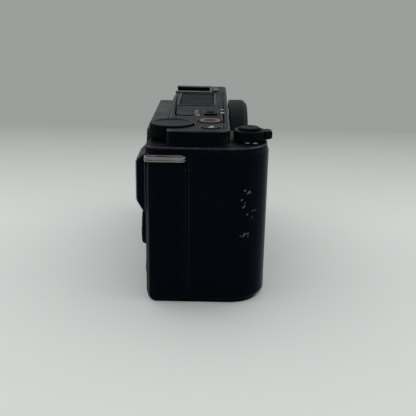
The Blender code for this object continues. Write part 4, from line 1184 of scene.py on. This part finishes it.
def make_rear_buttons():
    node = "centre_button"
    low, high, middle, size = box_mm(node)
    head, top, base = size.x / 2, high.y - REAR, low.y - REAR
    profile = [
        (0, top - 0.15, 0), (head * 0.7, top - 0.1, 3.0), (head - 0.3, top, 0.25),
        (head, top - 0.35, 0.2), (head, -0.5, 0), (CENTRE_STEM_R, -0.5, 0),
        (CENTRE_STEM_R, base + REAR_FLANGE, 0), (CENTRE_FOOT_R, base + REAR_FLANGE, 0),
        (CENTRE_FOOT_R, base, 0), (0, base, 0),
    ]
    add_turned(node + "_cap", profile, "rear", (middle.x, REAR, middle.z), "control", node, node)
    for node in REAR_ICONS:
        add_button(node + "_cap", node, "rear", REAR, REAR_LEDGE, REAR_FLANGE, REAR_BUTTON_PROUD)
    for node, outlines in REAR_ICONS.items():
        middle = box_mm(node).middle
        origin = (middle.x, REAR + REAR_BUTTON_PROUD - REAR_ICON_SINK, middle.z)
        printed(node + "_icon", outlines, "rear", origin, node)


DISPLAY_MARGIN = 3.2
PULL_RIB = (1.0, 9.0, 0.4)
PULL_PLACES = spaced(3, 1.6)


def make_monitor():
    add_softened("monitor_back", "monitor_frame", 0.55, 4, "satin")
    node = "monitor_glass"
    size, origin = box_mm(node).size, face_of(node, "rear")
    window = [rectangle(size.x, size.z, 1.0)]
    add_pushed("monitor_window", window, -size.y, 0, "rear", origin, "screen", node, node, edge=0.2)
    area = [rectangle(size.x - 2 * DISPLAY_MARGIN, size.z - 2 * DISPLAY_MARGIN, 0.4)]
    add_pushed("display_area", area, -0.2, 0.02, "rear", origin, "display", node, edge=0)
    add_softened("screen_hinge_barrel", "screen_hinge", 0.25, 3, "dark_metal")
    add_ribs("monitor_pull", "monitor_frame", "near", PULL_RIB, PULL_PLACES, 0.25, "satin")


# Base: screws at (x, y), battery door, latch and tripod socket
BASE_SCREWS = ((-20.0, -6.5), (-2.5, -2.0), (35.0, -6.5), (35.0, 14.5), (50.0, 8.0))
SCREW_R = 1.3
LATCH_RIB = (0.45, 5.6, 0.15)
LATCH_RIB_PLACES = spaced(4, 0.95)
DOOR_ARROW_SHIFT = 9.0
THREAD_PITCH = 1.27
THREAD_DEPTH = 0.45
SOCKET_WALL = 1.8
SOCKET_ROOF = 1.0


def cross_screw(name, facing, origin, on):
    """A small countersunk screw head with a cross recess."""
    work = bmesh.new()
    rim = [
        (0, -0.15, 0), (SCREW_R * 0.62, -0.15, 0), (SCREW_R * 0.66, 0.05, 0.03),
        (SCREW_R, 0.02, 0.05), (SCREW_R, -0.8, 0), (0, -0.8, 0),
    ]
    turn_into(work, rounded(rim, closed=False, steps=3), 40)
    for blade in (rectangle(SCREW_R * 0.95, 0.3, 0.05), rectangle(0.3, SCREW_R * 0.95, 0.05)):
        push_into(work, blade, -0.6, -0.06, 0.03)
    add_work(name, work, facing, origin, "dark_metal", on)


def make_base():
    add_softened("battery_door_plate", "battery_door", 0.25, 3, "shell")
    add_softened("door_latch_slide", "door_latch", 0.15, 2, "control")
    node = "door_latch"
    add_ribs("door_latch_ribs", node, "down", LATCH_RIB, LATCH_RIB_PLACES, 0.18, "control", edge=0.1)
    latch = box_mm(node).middle
    origin = (latch.x + DOOR_ARROW_SHIFT, latch.y, box_mm("battery_door").low.z)
    printed("door_arrow", [triangle(2.2)], "down", origin, "battery_door")
    for number, spot in enumerate(BASE_SCREWS, 1):
        cross_screw(f"base_screw_{number}", "down", (*spot, 0), "base_plate")


def make_tripod_socket():
    node = "tripod_socket"
    size = box_mm(node).size
    radius = size.x / 2
    bore, depth = radius - SOCKET_WALL, size.z - SOCKET_ROOF
    corners = [(0, -size.z, 0), (radius, -size.z, 0), (radius, 0, 0.15), (bore + 0.4, 0, 0)]
    for turn in range(int(depth / THREAD_PITCH)):
        start = -0.4 - turn * THREAD_PITCH
        corners += [(bore, start, 0), (bore, start - 0.2, 0), (bore + THREAD_DEPTH, start - 0.65, 0)]
    corners += [(bore, -depth, 0), (0, -depth, 0)]
    add_turned("tripod_bush", corners, "down", face_of(node, "down"), "steel", node, node, sides=64)


# Far end: the two jack doors with their finger ribs, and a mark for each jack
DOOR_RIBS = (-3.2, -2.3)
DOOR_RIB_LONGEST = 6.0
DOOR_MARKS = {
    "port_icons": ("port_door", (
        circle(0.5, (0.8, 7.0), 20),
        rectangle(1.6, 0.5, 0.2, (0.8, 0)),
        rectangle(2.0, 0.9, 0.2, (0.8, -7.5)),
    )),
    "mic_icon": ("mic_door", (circle(0.6, (0.8, 0), 20),)),
}


def make_end_doors():
    for node in ("mic_door", "port_door"):
        add_softened(node + "_flap", node, 0.3, 3, "flap")
        length = min(DOOR_RIB_LONGEST, box_mm(node).size.z / 2)
        add_ribs(node + "_tab", node, "far", (0.5, length, 0.2), DOOR_RIBS, 0.2, "pad", edge=0.1)
    for name, (node, outlines) in DOOR_MARKS.items():
        printed(name, outlines, "far", face_of(node, "far"), node)


# Finish of each inner node that keeps its own solid
CARRIED = {
    "steel": (
        "lens_mount_ring", "lens_lock_pin", "sensor_plate", "screen_hinge_pin",
        "charging_socket", "video_socket",
    ),
    "dark_metal": (
        *(f"mount_screw_{number}" for number in range(1, 5)),
        "front_chassis", "shutter_unit", "card_slot",
    ),
    "inner_plastic": (
        "battery", "battery_case", "memory_card", "microphone_block", "mic_jack", "headphone_jack",
    ),
    "board": ("main_board", "top_board", "jack_board"),
    "gold": ("sensor_package",),
    "sensor_glass": ("sensor_glass",),
    "display": ("monitor_panel",),
}


def finish_carried_nodes():
    for finish, nodes in CARRIED.items():
        for node in nodes:
            frame["nodes"][node].material_slots[0].material = FINISHES[finish][0]


MAKERS = (
    make_shells, make_grip_skin, make_end_skin, make_thumb_rest, make_lugs, make_control_dial,
    make_shutter_button, make_zoom_lever, make_zoom_marks, make_top_buttons, make_power_switch,
    make_mic_grille, make_shoe, make_body_cap, make_front_details, make_control_wheel,
    make_rear_buttons, make_monitor, make_base, make_tripod_socket, make_end_doors,
    finish_carried_nodes,
)

# Camera of the photograph: place in millimetres, angles in degrees, focal length for a 36 mm sensor
CAMERA_PLACE = (-282.30, -3.748, 110.0)
CAMERA_PITCH = 18.229
CAMERA_YAW = 0.287
CAMERA_ROLL = 1.0275
CAMERA_LENS = 58.88
SENSOR = 36.0
NEAREST_SEEN = 10.0


def make_camera():
    pitch, yaw, roll = (math.radians(angle) for angle in (CAMERA_PITCH, CAMERA_YAW, CAMERA_ROLL))
    data = bpy.data.cameras.new("photo_camera")
    data.sensor_width = SENSOR
    data.lens = CAMERA_LENS
    data.clip_start = NEAREST_SEEN * MM
    camera = in_scene("photo_camera", data)
    aim = Matrix.Rotation(yaw, 4, "Z") @ Matrix.Rotation(pitch, 4, "Y")
    turn = aim @ turn_to("near") @ Matrix.Rotation(roll, 4, "Z")
    camera.matrix_world = Matrix.Translation(Vector(CAMERA_PLACE) * MM) @ turn
    bpy.context.scene.camera = camera


# Floor: its colours near and far, where one turns into the other, and its size
FLOOR_NEAR = (0.80, 0.83, 0.81)
FLOOR_FAR = (0.40, 0.415, 0.40)
FADE_START = 30.0
FADE_END = 260.0
FLOOR_SIZE = 16000.0
FLOOR_DROP = 0.06

# Light: a wide soft sun, and a room that brightens towards +X and to both sides above a plain wall
SUN_STRENGTH = 1.6
SUN_ANGLE = 150.0
SUN_LEAN = (-5.0, -8.0, 0.0)
ROOM_BRIGHT = (0.62, 0.63, 0.625)
ROOM_DARK = (0.030, 0.032, 0.036)
ROOM_FADE = 0.7
SIDE_SHARE = 0.75
WALL_COLOUR = (0.27, 0.28, 0.275)
WALL_TOP = 0.22


def make_floor():
    work = bmesh.new()
    bmesh.ops.create_grid(work, x_segments=8, y_segments=8, size=FLOOR_SIZE / 2 * MM)
    work.transform(Matrix.Translation((0, 0, -FLOOR_DROP * MM)))
    mesh = bpy.data.meshes.new("studio_floor")
    work.to_mesh(mesh)
    work.free()
    nodes = Nodes("floor_paper")
    fade = nodes.spread(nodes.part(nodes.place, "X"), 0.0, 1.0, FADE_START * MM, FADE_END * MM)
    paper = nodes.spread(nodes.noise(25.0), 0.0, 0.06)
    near = nodes.blend(paper, FLOOR_NEAR, tint(FLOOR_NEAR, 0.9))
    nodes.fill(Base_Color=nodes.blend(fade, near, FLOOR_FAR), Roughness=0.95, Specular_IOR_Level=0.0)
    nodes.relief(nodes.noise(1.2), 0.01)
    mesh.materials.append(nodes.material)
    floor = in_scene("studio_floor", mesh)


def make_lights():
    lamp = bpy.data.lights.new("soft_ceiling", "SUN")
    lamp.energy = SUN_STRENGTH
    lamp.angle = math.radians(SUN_ANGLE)
    sun = in_scene("soft_ceiling", lamp)
    sun.rotation_euler = [math.radians(angle) for angle in SUN_LEAN]
    world = bpy.data.worlds.new("soft_room")
    world.use_nodes = True
    room = Tree(world.node_tree)
    way = room.node("ShaderNodeTexCoord").outputs["Generated"]
    side = room.sums("ABSOLUTE", room.part(way, "Y"))
    lean = room.sums("MULTIPLY_ADD", side, SIDE_SHARE, room.part(way, "X"))
    sky = room.blend(room.spread(lean, 0.0, 1.0, 0.0, ROOM_FADE), ROOM_DARK, ROOM_BRIGHT)
    wall = room.spread(room.part(way, "Z"), 0.0, 1.0, WALL_TOP, 0.0)
    room.feed(room.tree.nodes["Background"].inputs["Color"], room.blend(wall, sky, WALL_COLOUR))
    bpy.context.scene.world = world


for make in (*MAKERS, make_camera, make_floor, make_lights):
    make()
bpy.context.scene.view_settings.view_transform = "Standard"
